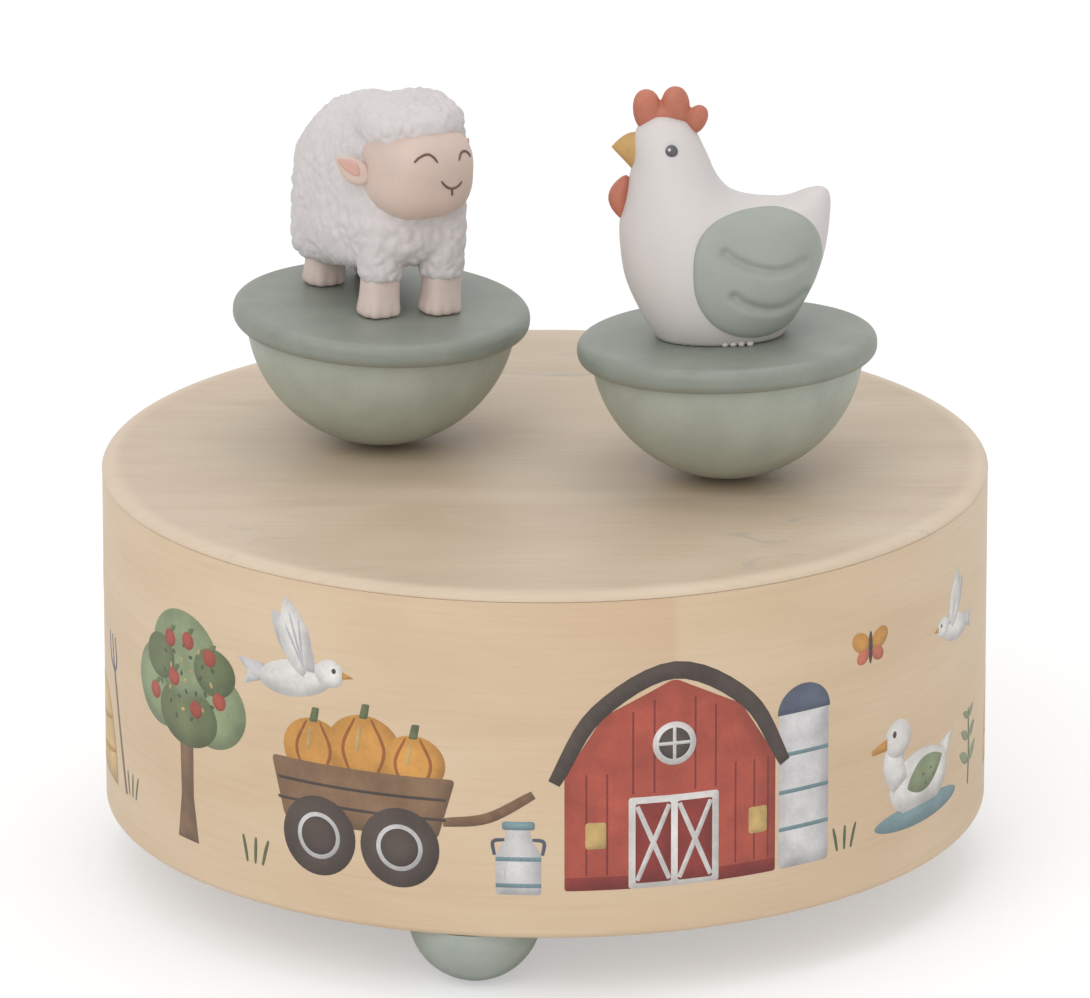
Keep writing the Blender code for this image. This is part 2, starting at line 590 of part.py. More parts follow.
def make_frame(paint):
    """Bedplate with its bearing posts, comb pedestal, comb, and their screws."""
    back = arc((0, 0), (BED_ROUND_RADIUS, BED_ROUND_RADIUS), pi / 2, 3 * pi / 2, 12)
    corner = BED_CORNER
    outline = [*back, (BED_ROUND_RADIUS / 2, -BED_COMB_SIDE), (BED_REACH - corner, -BED_COMB_SIDE),
               (BED_REACH, corner - BED_COMB_SIDE), (BED_REACH, BED_FAN_SIDE - corner),
               (BED_REACH - corner, BED_FAN_SIDE), (BED_ROUND_RADIUS / 2, BED_FAN_SIDE)]
    holes = [circle(ARBOR_RADIUS + GAP, 16)]
    holes += [circle(BED_SCREW_SHANK_RADIUS + GAP, 12, x, y) for x, y in bed_screw_spots()]
    bed = piece("movement_bedplate", slab(outline, BED_LOW_Z, BED_TOP_Z, holes), paint["zinc"])

    root = BED_TOP_Z - BED_THICKNESS / 2
    crest = AXIS_Z + 3 * CYLINDER_ARBOR_RADIUS
    arbor_hole = (0, AXIS_Z, CYLINDER_ARBOR_RADIUS)
    governor_hole = (GOVERNOR_Y, AXIS_Z, GOVERNOR_ARBOR_RADIUS)
    posts = [
        upright(INNER_POST_X, (-POST_HALF_WIDTH, POST_HALF_WIDTH), [arbor_hole], root, crest),
        upright(OUTER_POST_X, (-POST_HALF_WIDTH, GOVERNOR_Y + LUG_HALF_WIDTH),
                [arbor_hole, governor_hole], root, crest),
        upright(LUG_X, (GOVERNOR_Y - LUG_HALF_WIDTH, GOVERNOR_Y + LUG_HALF_WIDTH),
                [governor_hole], root, crest),
        box((CYLINDER_START_X, CYLINDER_END_X),
            (PEDESTAL_Y - COMB_BACK_DEPTH / 2, PEDESTAL_Y + COMB_BACK_DEPTH / 2),
            (root, COMB_LOW_Z - GAP)),
    ]
    for number, bm in enumerate(posts, 1):
        combine(bed, piece(f"bed_post_{number}", bm, None, cutter=True), "UNION")
    taps = bmesh.new()
    for x, y in comb_screw_spots():
        drill_body(taps, x, y, COMB_SCREW_SHANK_RADIUS + GAP, COMB_LOW_Z - COMB_SCREW_LENGTH,
                   AXIS_Z + OVERRUN)
    x, y = bracket_screw_spot()
    drill_body(taps, x, y, BRACKET_SCREW_SHANK_RADIUS + GAP, BED_LOW_Z + GAP, BED_TOP_Z + OVERRUN)
    combine(bed, piece("bed_taps", taps, None, cutter=True), "DIFFERENCE")

    head = (BED_SCREW_HEAD_RADIUS, BED_SCREW_HEAD_HEIGHT)
    shank = (BED_SCREW_SHANK_RADIUS, BED_SCREW_LENGTH)
    for number, (x, y) in enumerate(bed_screw_spots(), 1):
        piece(f"bedplate_screw_{number}", screw_body(x, y, BED_TOP_Z + GAP, head, shank), paint["steel"])

    holes = [circle(COMB_SCREW_SHANK_RADIUS + GAP, 12, x, y) for x, y in comb_screw_spots()]
    piece("tuned_comb", slab(comb_outline(), COMB_LOW_Z, COMB_LOW_Z + COMB_THICKNESS, holes), paint["steel"])
    seat = COMB_LOW_Z + COMB_THICKNESS + GAP
    head = (COMB_SCREW_HEAD_RADIUS, COMB_SCREW_HEAD_HEIGHT)
    shank = (COMB_SCREW_SHANK_RADIUS, COMB_SCREW_LENGTH)
    for number, (x, y) in enumerate(comb_screw_spots(), 1):
        piece(f"comb_screw_{number}", screw_body(x, y, seat, head, shank), paint["steel"])


def comb_outline():
    """Back strip and graded teeth, long ones for the low notes first."""
    track = CYLINDER_LENGTH / CYLINDER_TRACKS
    slot = track * COMB_SLOT_SHARE
    back = PEDESTAL_Y - COMB_BACK_DEPTH / 2
    points = [(CYLINDER_START_X, back), (CYLINDER_END_X, back)]
    for i in reversed(range(CYLINDER_TRACKS)):
        length = COMB_LONG_TOOTH + (COMB_SHORT_TOOTH - COMB_LONG_TOOTH) * i / (CYLINDER_TRACKS - 1)
        right = CYLINDER_START_X + (i + 1) * track - slot / 2
        left = CYLINDER_START_X + i * track + slot / 2
        root = COMB_TIP_Y - length
        points += [(right, root), (right, COMB_TIP_Y), (left, COMB_TIP_Y), (left, root)]
    return points


def make_key(paint):
    """Winding key, winding arbor, and the ratchet that keeps the spring wound."""
    axis = joint_empty("key_axis", (0, 0, 0))
    middle = KEY_GROUND_CLEARANCE + KEY_HEIGHT / 2
    crest, trough = [], []
    steps = 16
    for i in range(steps + 1):
        share = -1 + 2 * i / steps
        half = KEY_HEIGHT / 2 * sqrt(1 - share ** 4) * (KEY_WAIST_SHARE + KEY_WING_SHARE * share ** 2)
        crest.append((KEY_HALF_SPAN * share, half))
        trough.append((-KEY_HALF_SPAN * share, -half))
    outline = trough + crest[1:-1]
    stand = Matrix.Translation((0, 0, middle)) @ Matrix.Rotation(pi / 2, 4, "X")
    blade = slab(outline, -KEY_BLADE_THICKNESS / 2, KEY_BLADE_THICKNESS / 2)
    bmesh.ops.transform(blade, matrix=stand, verts=blade.verts)
    key = piece("winding_key", blade, paint["brass"], parent=axis)
    hub_top = BED_LOW_Z - 3 * GAP
    hub_low = hub_top - KEY_HUB_HEIGHT
    hub = lathe([(0, hub_low), (KEY_HUB_RADIUS - GAP, hub_low), (KEY_HUB_RADIUS, hub_low + GAP),
                 (KEY_HUB_RADIUS, hub_top), (0, hub_top)], 20)
    combine(key, piece("key_hub", hub, None, parent=axis, cutter=True), "UNION")
    thread_low = hub_low + 2 * KEY_BLADE_THICKNESS
    bore = drill_body(bmesh.new(), 0, 0, ARBOR_RADIUS + GAP, thread_low - GAP, hub_top + OVERRUN)
    combine(key, piece("key_bore", bore, None, parent=axis, cutter=True), "DIFFERENCE")

    ratchet_top = RATCHET_LOW_Z + RATCHET_THICKNESS
    top = BARREL_TOP_Z - GAP
    shoulder = BARREL_LOW_Z + BARREL_WALL + GAP
    profile = [(0, thread_low), (ARBOR_RADIUS, thread_low), (ARBOR_RADIUS, shoulder),
               (ARBOR_HUB_RADIUS, shoulder), (ARBOR_HUB_RADIUS, top), (0, top)]
    piece("winding_arbor", lathe(profile, 20), paint["steel"], parent=axis)

    points = []
    for i in range(RATCHET_TEETH):
        start = 2 * pi * i / RATCHET_TEETH
        tip = start + GAP / RATCHET_RADIUS
        for radius, angle in ((RATCHET_RADIUS - RATCHET_TOOTH, start), (RATCHET_RADIUS, tip)):
            points.append((radius * cos(angle), radius * sin(angle)))
    piece("ratchet_wheel", slab(points, RATCHET_LOW_Z, ratchet_top, [circle(ARBOR_RADIUS + GAP, 16)]),
          paint["steel"], parent=axis)

    near = RATCHET_RADIUS + GAP
    far = near + CLICK_WIDTH
    click = box((-CLICK_LENGTH / 2, CLICK_LENGTH / 2), (near, far),
                (RATCHET_LOW_Z, RATCHET_LOW_Z + CLICK_THICKNESS))
    piece("ratchet_click", click, paint["steel"])


def crown_ring():
    """Ring of upright teeth, with a gap centred on +X."""
    tip = CROWN_PLANE_Z + ADDENDUM_SHARE * CROWN_PITCH
    root = CROWN_PLANE_Z - DEDENDUM_SHARE * CROWN_PITCH
    rings = []
    for i in range(CROWN_TEETH):
        middle = (2 * i + 1) * pi / CROWN_TEETH
        for top, side in ((root, -TOOTH_ROOT_SHARE), (tip, -TOOTH_TIP_SHARE),
                          (tip, TOOTH_TIP_SHARE), (root, TOOTH_ROOT_SHARE)):
            angle = middle + side * pi / CROWN_TEETH
            rings.append([(r * cos(angle), r * sin(angle), z) for r, z in (
                (CROWN_INNER_RADIUS, CROWN_LOW_Z), (CROWN_OUTER_RADIUS, CROWN_LOW_Z),
                (CROWN_OUTER_RADIUS, top), (CROWN_INNER_RADIUS, top))])
    return add_loft(bmesh.new(), rings, closed=True)


def spring_coil():
    """Flat spring wound from the arbor's hub to the barrel's wall."""
    inner = ARBOR_HUB_RADIUS + SPRING_CLEARANCE
    outer = BARREL_RADIUS - BARREL_WALL - SPRING_CLEARANCE - SPRING_THICKNESS
    low = BARREL_LOW_Z + BARREL_WALL + 2 * GAP
    high = BARREL_TOP_Z - 2 * GAP
    steps = SPRING_TURNS * 14
    rings = []
    for i in range(steps + 1):
        angle = 2 * pi * SPRING_TURNS * i / steps
        radius = inner + (outer - inner) * i / steps
        rings.append([(r * cos(angle), r * sin(angle), z) for r, z in (
            (radius, low), (radius + SPRING_THICKNESS, low),
            (radius + SPRING_THICKNESS, high), (radius, high))])
    return add_loft(bmesh.new(), rings)


def make_barrel(paint):
    """Spring barrel, crown gear, cover, output shaft and the rotor with its magnets."""
    axis = joint_empty("barrel_axis", (0, 0, 0))
    bore = ARBOR_RADIUS + GAP
    inner = BARREL_RADIUS - BARREL_WALL
    floor = BARREL_LOW_Z + BARREL_WALL
    profile = [(bore, BARREL_LOW_Z), (BARREL_RADIUS, BARREL_LOW_Z), (BARREL_RADIUS, BARREL_TOP_Z),
               (inner, BARREL_TOP_Z), (inner, floor), (bore, floor)]
    piece("spring_barrel", lathe(profile, 36, closed=True), paint["brass"], parent=axis)
    piece("mainspring", spring_coil(), paint["steel"], parent=axis)
    piece("crown_gear", crown_ring(), paint["brass"], parent=axis)

    cover_low = BARREL_TOP_Z + GAP
    cover = [(0, cover_low), (BARREL_RADIUS, cover_low), (BARREL_RADIUS, COVER_TOP_Z), (0, COVER_TOP_Z)]
    piece("barrel_cover", lathe(cover, 36), paint["brass"], parent=axis)

    flange = COVER_TOP_Z + GAP
    shaft_top = ROTOR_LOW_Z - GAP
    collar = flange + SHAFT_FLANGE_THICKNESS
    profile = [(0, flange), (SHAFT_FLANGE_RADIUS, flange), (SHAFT_FLANGE_RADIUS, collar),
               (SHAFT_RADIUS, collar), (SHAFT_RADIUS, shaft_top), (0, shaft_top)]
    shaft = piece("output_shaft", lathe(profile, 20), paint["steel"], parent=axis)
    seat = ROTOR_TOP_Z + GAP
    tap = drill_body(bmesh.new(), 0, 0, ROTOR_SCREW_SHANK_RADIUS + GAP,
                     seat - ROTOR_SCREW_LENGTH - GAP, shaft_top + OVERRUN)
    combine(shaft, piece("shaft_tap", tap, None, parent=axis, cutter=True), "DIFFERENCE")
    screw = screw_body(0, 0, seat, (ROTOR_SCREW_HEAD_RADIUS, ROTOR_SCREW_HEAD_HEIGHT),
                       (ROTOR_SCREW_SHANK_RADIUS, ROTOR_SCREW_LENGTH))
    piece("rotor_screw", screw, paint["steel"], parent=axis)

    spots = [(SHEEP_ORBIT_RADIUS * cos(SHEEP_ORBIT_ANGLE), SHEEP_ORBIT_RADIUS * sin(SHEEP_ORBIT_ANGLE)),
             (HEN_ORBIT_RADIUS * cos(HEN_ORBIT_ANGLE), HEN_ORBIT_RADIUS * sin(HEN_ORBIT_ANGLE))]
    holes = [circle(ROTOR_SCREW_SHANK_RADIUS + GAP, 12)]
    holes += [circle(MAGNET_RADIUS + GAP, 20, x, y) for x, y in spots]
    rotor = slab(circle(ROTOR_RADIUS, 40), ROTOR_LOW_Z, ROTOR_TOP_Z, holes)
    piece("rotor_disc", rotor, paint["white_plastic"], parent=axis)
    low = ROTOR_TOP_Z - MAGNET_HEIGHT / 2
    high = low + MAGNET_HEIGHT
    profile = [(0, low), (MAGNET_RADIUS, low), (MAGNET_RADIUS, high), (0, high)]
    for number, (x, y) in enumerate(spots, 1):
        magnet = add_lathe(bmesh.new(), profile, 20, x=x, y=y)
        piece(f"rotor_magnet_{number}", magnet, paint["nickel"], parent=axis)


def pinned_drum():
    """Cylinder whose pins stand on a grid of tracks and steps."""
    rings = []
    for track in range(CYLINDER_TRACKS + 1):
        x = CYLINDER_START_X + CYLINDER_LENGTH * track / CYLINDER_TRACKS
        rings.append([(x, y, z) for y, z in circle(CYLINDER_RADIUS, CYLINDER_STEPS)])
    bm = add_loft(bmesh.new(), rings)
    bm.faces.ensure_lookup_table()
    pins = []
    for track in range(CYLINDER_TRACKS):
        for step in range(CYLINDER_STEPS):
            if (track * 7 + step * 5 + track * step) % 9 == 0:
                pins.append(bm.faces[track * CYLINDER_STEPS + step])
    bmesh.ops.recalc_face_normals(bm, faces=bm.faces)
    bmesh.ops.inset_individual(bm, faces=pins, thickness=PIN_INSET)
    grown = bmesh.ops.extrude_discrete_faces(bm, faces=pins)["faces"]
    for face in grown:
        bmesh.ops.translate(bm, verts=face.verts, vec=face.normal * PIN_HEIGHT)
    bmesh.ops.translate(bm, verts=bm.verts, vec=(0, 0, AXIS_Z))
    return bm


def laid_gear(teeth, pitch_radius, thickness, x, y, bore, gap_turn):
    """Spur gear on an arbor along X; gap_turn is measured from straight down towards +Y."""
    outline = gear_outline(teeth, pitch_radius, gap_turn)
    bm = slab(outline, -thickness / 2, thickness / 2, [circle(bore + GAP, 16)])
    return along_x(bm, x, y, AXIS_Z)


def laid_rod(radius, start, end, y):
    """Plain arbor along X."""
    rings = [[(x, y + py, AXIS_Z + pz) for py, pz in circle(radius, 12)] for x in (start, end)]
    return add_loft(bmesh.new(), rings)


def make_cylinder(paint):
    """Pinned cylinder with its arbor, pinion and wheel, all on one line along X."""
    axis = joint_empty("cylinder_axis", (0, 0, AXIS_Z))
    down = (0, 0, -AXIS_Z)
    bore = CYLINDER_ARBOR_RADIUS
    cylinder = piece("pinned_cylinder", pinned_drum(), paint["brass"], parent=axis, place=down)
    reach = OVERRUN
    tunnel = laid_rod(bore + GAP, CYLINDER_START_X - reach, CYLINDER_END_X + reach, 0)
    tunnel = piece("cylinder_bore", tunnel, None, parent=axis, place=down, cutter=True)
    combine(cylinder, tunnel, "DIFFERENCE")
    start = CROWN_INNER_RADIUS + GAP
    end = OUTER_POST_X + POST_THICKNESS / 2
    piece("cylinder_arbor", laid_rod(bore, start, end, 0), paint["steel"], parent=axis, place=down)
    face = CROWN_FACE_WIDTH * PINION_FACE_SHARE
    pinion = laid_gear(PINION_TEETH, PINION_PITCH_RADIUS, face, CROWN_MEAN_RADIUS, 0, bore,
                       pi / PINION_TEETH)
    piece("cylinder_pinion", pinion, paint["brass"], parent=axis, place=down)
    wheel = laid_gear(WHEEL_TEETH, WHEEL_PITCH_RADIUS, WHEEL_THICKNESS, WHEEL_X, 0, bore, pi / 2)
    piece("cylinder_wheel", wheel, paint["brass"], parent=axis, place=down)


def worm_surface():
    """Two-start right-hand thread on an upright core, a ridge facing -Y at mid height."""
    crest = WORM_PITCH_RADIUS + ADDENDUM_SHARE * WORM_PITCH
    core = WORM_PITCH_RADIUS - DEDENDUM_SHARE * WORM_PITCH
    lead = WORM_STARTS * WORM_PITCH
    sides, steps = 12, 20
    rings = []
    for k in range(steps + 1):
        z = WORM_LENGTH * (k / steps - 1 / 2)
        ring = []
        for i in range(sides):
            angle = 2 * pi * i / sides
            phase = (z - lead * (angle + pi / 2) / (2 * pi)) / WORM_PITCH
            offset = abs(phase - round(phase)) * 2
            rise = min(1.0, max(0.0, (TOOTH_ROOT_SHARE - offset) / (TOOTH_ROOT_SHARE - TOOTH_TIP_SHARE)))
            radius = core + (crest - core) * rise
            ring.append((radius * cos(angle), radius * sin(angle), AXIS_Z + z))
        rings.append(ring)
    low = [[(FLY_SHAFT_RADIUS * cos(2 * pi * i / sides), FLY_SHAFT_RADIUS * sin(2 * pi * i / sides), z)
            for i in range(sides)] for z in (fly_low(), AXIS_Z - WORM_LENGTH / 2)]
    high = [[(FLY_SHAFT_RADIUS * cos(2 * pi * i / sides), FLY_SHAFT_RADIUS * sin(2 * pi * i / sides), z)
             for i in range(sides)] for z in (AXIS_Z + WORM_LENGTH / 2, fly_high())]
    return add_loft(bmesh.new(), low + rings + high)


def fly_low():
    """Lower tip of the worm shaft, inside the bracket's foot arm."""
    return AXIS_Z - WORM_LENGTH / 2 - BRACKET_THICKNESS


def vane_low():
    """Underside of the air vane, above the worm."""
    return AXIS_Z + WORM_LENGTH / 2 + 3 * GAP


def fly_high():
    """Upper tip of the worm shaft, inside the bracket's top arm."""
    return vane_low() + VANE_HEIGHT + GAP + BRACKET_THICKNESS


def bracket_screw_spot():
    """Screw on the bracket's foot, under the worm."""
    return (WORM_WHEEL_X, FLY_Y)


def make_governor(paint):
    """Pinion and worm wheel on their arbor, worm shaft with its vane, and the bracket."""
    axis = joint_empty("governor_axis", (0, GOVERNOR_Y, AXIS_Z))
    back = (0, -GOVERNOR_Y, -AXIS_Z)
    bore = GOVERNOR_ARBOR_RADIUS
    rod = laid_rod(bore, LUG_X - POST_THICKNESS / 2, OUTER_POST_X + POST_THICKNESS / 2, GOVERNOR_Y)
    piece("governor_arbor", rod, paint["steel"], parent=axis, place=back)
    pinion = laid_gear(GOVERNOR_PINION_TEETH, GOVERNOR_PITCH_RADIUS, WHEEL_THICKNESS, WHEEL_X, GOVERNOR_Y,
                       bore, -pi / 2 + pi / GOVERNOR_PINION_TEETH)
    piece("governor_pinion", pinion, paint["brass"], parent=axis, place=back)
    wheel = laid_gear(WORM_WHEEL_TEETH, WORM_WHEEL_PITCH_RADIUS, WORM_WHEEL_THICKNESS, WORM_WHEEL_X,
                      GOVERNOR_Y, bore, pi / 2)
    piece("worm_wheel", wheel, paint["white_plastic"], parent=axis, place=back)

    fly = joint_empty("fly_axis", (WORM_WHEEL_X, FLY_Y, 0))
    piece("worm_shaft", worm_surface(), paint["steel"], parent=fly)
    low, high = vane_low(), vane_low() + VANE_HEIGHT
    half = VANE_THICKNESS / 2
    vane = box((-VANE_HALF_SPAN, VANE_HALF_SPAN), (-half, half), (low, high))
    vane = piece("air_vane", vane, paint["white_plastic"], parent=fly)
    hub = drill_body(bmesh.new(), 0, 0, VANE_HUB_RADIUS, low, high)
    combine(vane, piece("vane_hub", hub, None, parent=fly, cutter=True), "UNION")
    bore_cut = drill_body(bmesh.new(), 0, 0, FLY_SHAFT_RADIUS + GAP, low - OVERRUN, high + OVERRUN)
    combine(vane, piece("vane_bore", bore_cut, None, parent=fly, cutter=True), "DIFFERENCE")

    post_y = FLY_Y + VANE_HALF_SPAN + GAP
    post_back = post_y + BRACKET_THICKNESS
    arm_y = FLY_Y - VANE_HUB_RADIUS
    foot_z = BED_TOP_Z + GAP
    foot_top = foot_z + BRACKET_THICKNESS
    arm_low = fly_low() - GAP
    arm_high = vane_low() + VANE_HEIGHT + GAP
    outline = [(arm_y, foot_z), (post_back, foot_z), (post_back, arm_high + BRACKET_THICKNESS),
               (arm_y, arm_high + BRACKET_THICKNESS), (arm_y, arm_high), (post_y, arm_high),
               (post_y, arm_low + BRACKET_THICKNESS), (arm_y, arm_low + BRACKET_THICKNESS),
               (arm_y, arm_low), (post_y, arm_low), (post_y, foot_top), (arm_y, foot_top)]
    half = BRACKET_WIDTH / 2
    bracket = along_x(slab([(-z, y) for y, z in outline], WORM_WHEEL_X - half, WORM_WHEEL_X + half))
    bracket = piece("governor_bracket", bracket, paint["brass"])
    screw_x, screw_y = bracket_screw_spot()
    drill = drill_body(bmesh.new(), WORM_WHEEL_X, FLY_Y, FLY_SHAFT_RADIUS + GAP, arm_low - OVERRUN,
                       arm_high + BRACKET_THICKNESS + OVERRUN)
    combine(bracket, piece("bracket_drill", drill, None, cutter=True), "DIFFERENCE")
    tap = drill_body(bmesh.new(), screw_x, screw_y, BRACKET_SCREW_SHANK_RADIUS + GAP, foot_z - OVERRUN,
                     foot_z + OVERRUN)
    combine(bracket, piece("bracket_tap", tap, None, cutter=True), "DIFFERENCE")
    screw = screw_body(screw_x, screw_y, foot_top + GAP,
                       (BRACKET_SCREW_HEAD_RADIUS, BRACKET_SCREW_HEAD_HEIGHT),
                       (BRACKET_SCREW_SHANK_RADIUS, BRACKET_SCREW_LENGTH))
    piece("governor_screw", screw, paint["steel"])


def make_rocker(animal, axis, paint):
    """Round-bottomed bowl, its magnet and the cap that closes it."""
    rim = sqrt(ROCKER_RADIUS ** 2 - BOWL_TOP ** 2)
    bore = ROCKER_MAGNET_RADIUS + GAP
    floor = ROCKER_FLOOR - ROCKER_RADIUS
    bowl = arc((0, 0), (ROCKER_RADIUS, ROCKER_RADIUS), -pi / 2, -atan2(-BOWL_TOP, rim), 7)
    profile = [(0, -ROCKER_RADIUS), *bowl[1:], (bore, BOWL_TOP), (bore, floor), (0, floor)]
    piece(f"{animal}_rocker", lathe(profile, ROCKER_SIDES), paint["rocker_paint"], parent=axis)
    low = floor + GAP
    high = low + ROCKER_MAGNET_HEIGHT
    profile = [(0, low), (ROCKER_MAGNET_RADIUS, low), (ROCKER_MAGNET_RADIUS, high), (0, high)]
    piece(f"{animal}_magnet", lathe(profile, 20), paint["nickel"], parent=axis)

    edge = CAP_EDGE
    side = CAP_RADIUS - edge
    peg_low = CAP_LOW - CAP_PEG_LENGTH
    profile = [(0, peg_low), (CAP_PEG_RADIUS, peg_low), (CAP_PEG_RADIUS, CAP_LOW),
               *arc((side, CAP_LOW + edge), (edge, edge), -pi / 2, 0, 2),
               *arc((side, CAP_TOP - edge), (edge, edge), 0, pi / 2, 2), (0, CAP_TOP)]
    piece(f"{animal}_cap", lathe(profile, ROCKER_SIDES), paint["cap_paint"], parent=axis)


def lean(right, front, heading):
    """Turn of a rocker: its heading first, then its lean to the right and to the front."""
    return (Matrix.Rotation(right, 3, "Y") @ Matrix.Rotation(front, 3, "X")
            @ Matrix.Rotation(heading, 3, "Z"))


def swell(share, roundness):
    """Breadth left of a rounded form at a share of its half length."""
    return (1 - abs(share) ** roundness) ** (1 / roundness)


def fleece_surface():
    """Woolly body: rounded rump, belly rising to the chest, and a raised crown over the face."""
    rings = []
    stations, around = 12, 18
    middle = (SHEEP_BACK_HEIGHT + SHEEP_BELLY_HEIGHT) / 2
    for k in range(stations + 1):
        along = sin(pi * (k / stations - 1 / 2))
        x = SHEEP_CENTRE_X + along * SHEEP_LENGTH / 2
        if k in (0, stations):
            rings.append([(x, SHEEP_CENTRE_Y, STAND + middle)])
            continue
        crown = SHEEP_CROWN_RISE * min(1.0, max(0.0, 2 * along))
        roundness = HEAD_ROUNDNESS if along > 0 else RUMP_ROUNDNESS
        rise = (SHEEP_BACK_HEIGHT + crown - middle) * swell(along, roundness)
        belly = SHEEP_BELLY_HEIGHT + SHEEP_BELLY_SLOPE * along
        sag = (middle - belly) * swell(along, BELLY_ROUNDNESS)
        half = SHEEP_WIDTH / 2 * swell(along, PLAN_ROUNDNESS)
        ring = []
        for i in range(around):
            angle = 2 * pi * i / around
            c, s = cos(angle), sin(angle)
            power = 2 / (BACK_ROUNDNESS if s > 0 else BELLY_ROUNDNESS)
            y = half * abs(c) ** power * (1 if c > 0 else -1)
            z = abs(s) ** power * (rise if s > 0 else -sag)
            ring.append((x, SHEEP_CENTRE_Y + y, STAND + middle + z))
        rings.append(ring)
    return add_loft(bmesh.new(), rings)


def make_sheep(paint, barrel_parent):
    """Sheep on its rocker; face, ears and legs sit in sockets of the fleece."""
    place = (SHEEP_ORBIT_RADIUS * cos(SHEEP_ORBIT_ANGLE), SHEEP_ORBIT_RADIUS * sin(SHEEP_ORBIT_ANGLE),
             ROCKER_CENTRE_Z)
    turn = lean(SHEEP_LEAN_RIGHT, SHEEP_LEAN_FRONT, SHEEP_HEADING)
    axis = joint_empty("sheep_axis", place, turn, barrel_parent)
    make_rocker("sheep", axis, paint)
    fleece = piece("sheep_fleece", fleece_surface(), paint["fleece"], parent=axis)

    face_radii = (FACE_LENGTH_RADIUS, FACE_WIDTH_RADIUS, FACE_HEIGHT_RADIUS)
    centre = (FACE_CENTRE_X, SHEEP_CENTRE_Y, STAND + FACE_CENTRE_Z)
    piece("sheep_face", ellipsoid(face_radii, centre), paint["face"], parent=axis)
    socket = ellipsoid([r + GAP for r in face_radii], centre)
    combine(fleece, piece("face_socket", socket, None, parent=axis, cutter=True), "DIFFERENCE")

    ear_radii = (EAR_DEPTH_RADIUS, EAR_WIDTH_RADIUS, EAR_HEIGHT_RADIUS)
    for number, side in enumerate((1, -1), 1):
        centre = (EAR_CENTRE_X, SHEEP_CENTRE_Y + side * SHEEP_WIDTH / 2, STAND + EAR_CENTRE_Z)
        turn = Matrix.Rotation(side * EAR_SWEEP, 3, "Z") @ Matrix.Rotation(side * EAR_RISE, 3, "X")
        piece(f"sheep_ear_{number}", ellipsoid(ear_radii, centre, 12, 8, turn), paint["face"], parent=axis)
        socket = ellipsoid([r + GAP for r in ear_radii], centre, 12, 8, turn)
        combine(fleece, piece(f"ear_socket_{number}", socket, None, parent=axis, cutter=True), "DIFFERENCE")

    high = STAND + SHEEP_BELLY_HEIGHT + LEG_SOCKET_DEPTH
    for number, (along, across) in enumerate(LEG_SPOT_SHARES, 1):
        x = SHEEP_CENTRE_X + along * SHEEP_LENGTH
        y = SHEEP_CENTRE_Y + across * SHEEP_WIDTH
        profile = [(0, STAND), (LEG_FOOT_RADIUS, STAND), (LEG_TOP_RADIUS, high), (0, high)]
        leg = add_lathe(bmesh.new(), profile, 16, x=x, y=y)
        piece(f"sheep_leg_{number}", leg, paint["leg"], parent=axis)
        socket = add_lathe(bmesh.new(), [(0, STAND), (LEG_FOOT_RADIUS + GAP, STAND),
                                         (LEG_TOP_RADIUS + GAP, high + GAP), (0, high + GAP)], 16, x=x, y=y)
        combine(fleece, piece(f"leg_socket_{number}", socket, None, parent=axis, cutter=True), "DIFFERENCE")


def smooth_loop(points, per_span):
    """A rounded closed curve through the given points."""
    count = len(points)
    loop = []
    for i in range(count):
        p0, p1, p2, p3 = (Vector(points[(i + k) % count]) for k in (-1, 0, 1, 2))
        for step in range(per_span):
            t = step / per_span
            twice = (2 * p1 + (p2 - p0) * t + (2 * p0 - 5 * p1 + 4 * p2 - p3) * t ** 2
                     + (3 * p1 - p0 - 3 * p2 + p3) * t ** 3)
            loop.append(twice / 2)
    return loop


def hen_surface(grow=0.0):
    """Plump body from its side outline, grown all round by the given amount."""
    centre = Vector((HEN_CENTRE_SHARES[0] * HEN_LENGTH, HEN_CENTRE_SHARES[1] * HEN_HEIGHT))
    outline = smooth_loop([(x * HEN_LENGTH, z * HEN_HEIGHT) for x, z in HEN_OUTLINE_SHARES], 2)
    slices = 8
    rings = []
    for k in range(slices + 1):
        turn = pi * (k / slices - 1 / 2)
        spread, depth = cos(turn) ** HEN_FULLNESS, sin(turn)
        ring = []
        for point in outline:
            ray = point - centre
            spot = centre + ray * ((1 + grow / ray.length) * spread)
            share = min(1.0, max(0.0, (spot.y / HEN_HEIGHT - HEN_NECK_START_SHARE) / HEN_NECK_SPAN_SHARE))
            share = share * share * (3 - 2 * share)
            half = HEN_WIDTH / 2 + (HEN_HEAD_WIDTH - HEN_WIDTH) / 2 * share + grow
            ring.append((spot.x, half * depth, STAND + spot.y))
        if k in (0, slices):
            half = HEN_WIDTH / 2 + grow
            ring = [(centre.x, half * depth, STAND + centre.y)]
        rings.append(ring)
    bm = add_loft(bmesh.new(), rings)
    planes = bm.verts[:] + bm.edges[:] + bm.faces[:]
    cut = bmesh.ops.bisect_plane(bm, geom=planes, plane_co=(0, 0, STAND), plane_no=(0, 0, -1),
                                 clear_outer=True)
    rim = [e for e in cut["geom_cut"] if isinstance(e, bmesh.types.BMEdge)]
    bmesh.ops.contextual_create(bm, geom=rim)
    return bm


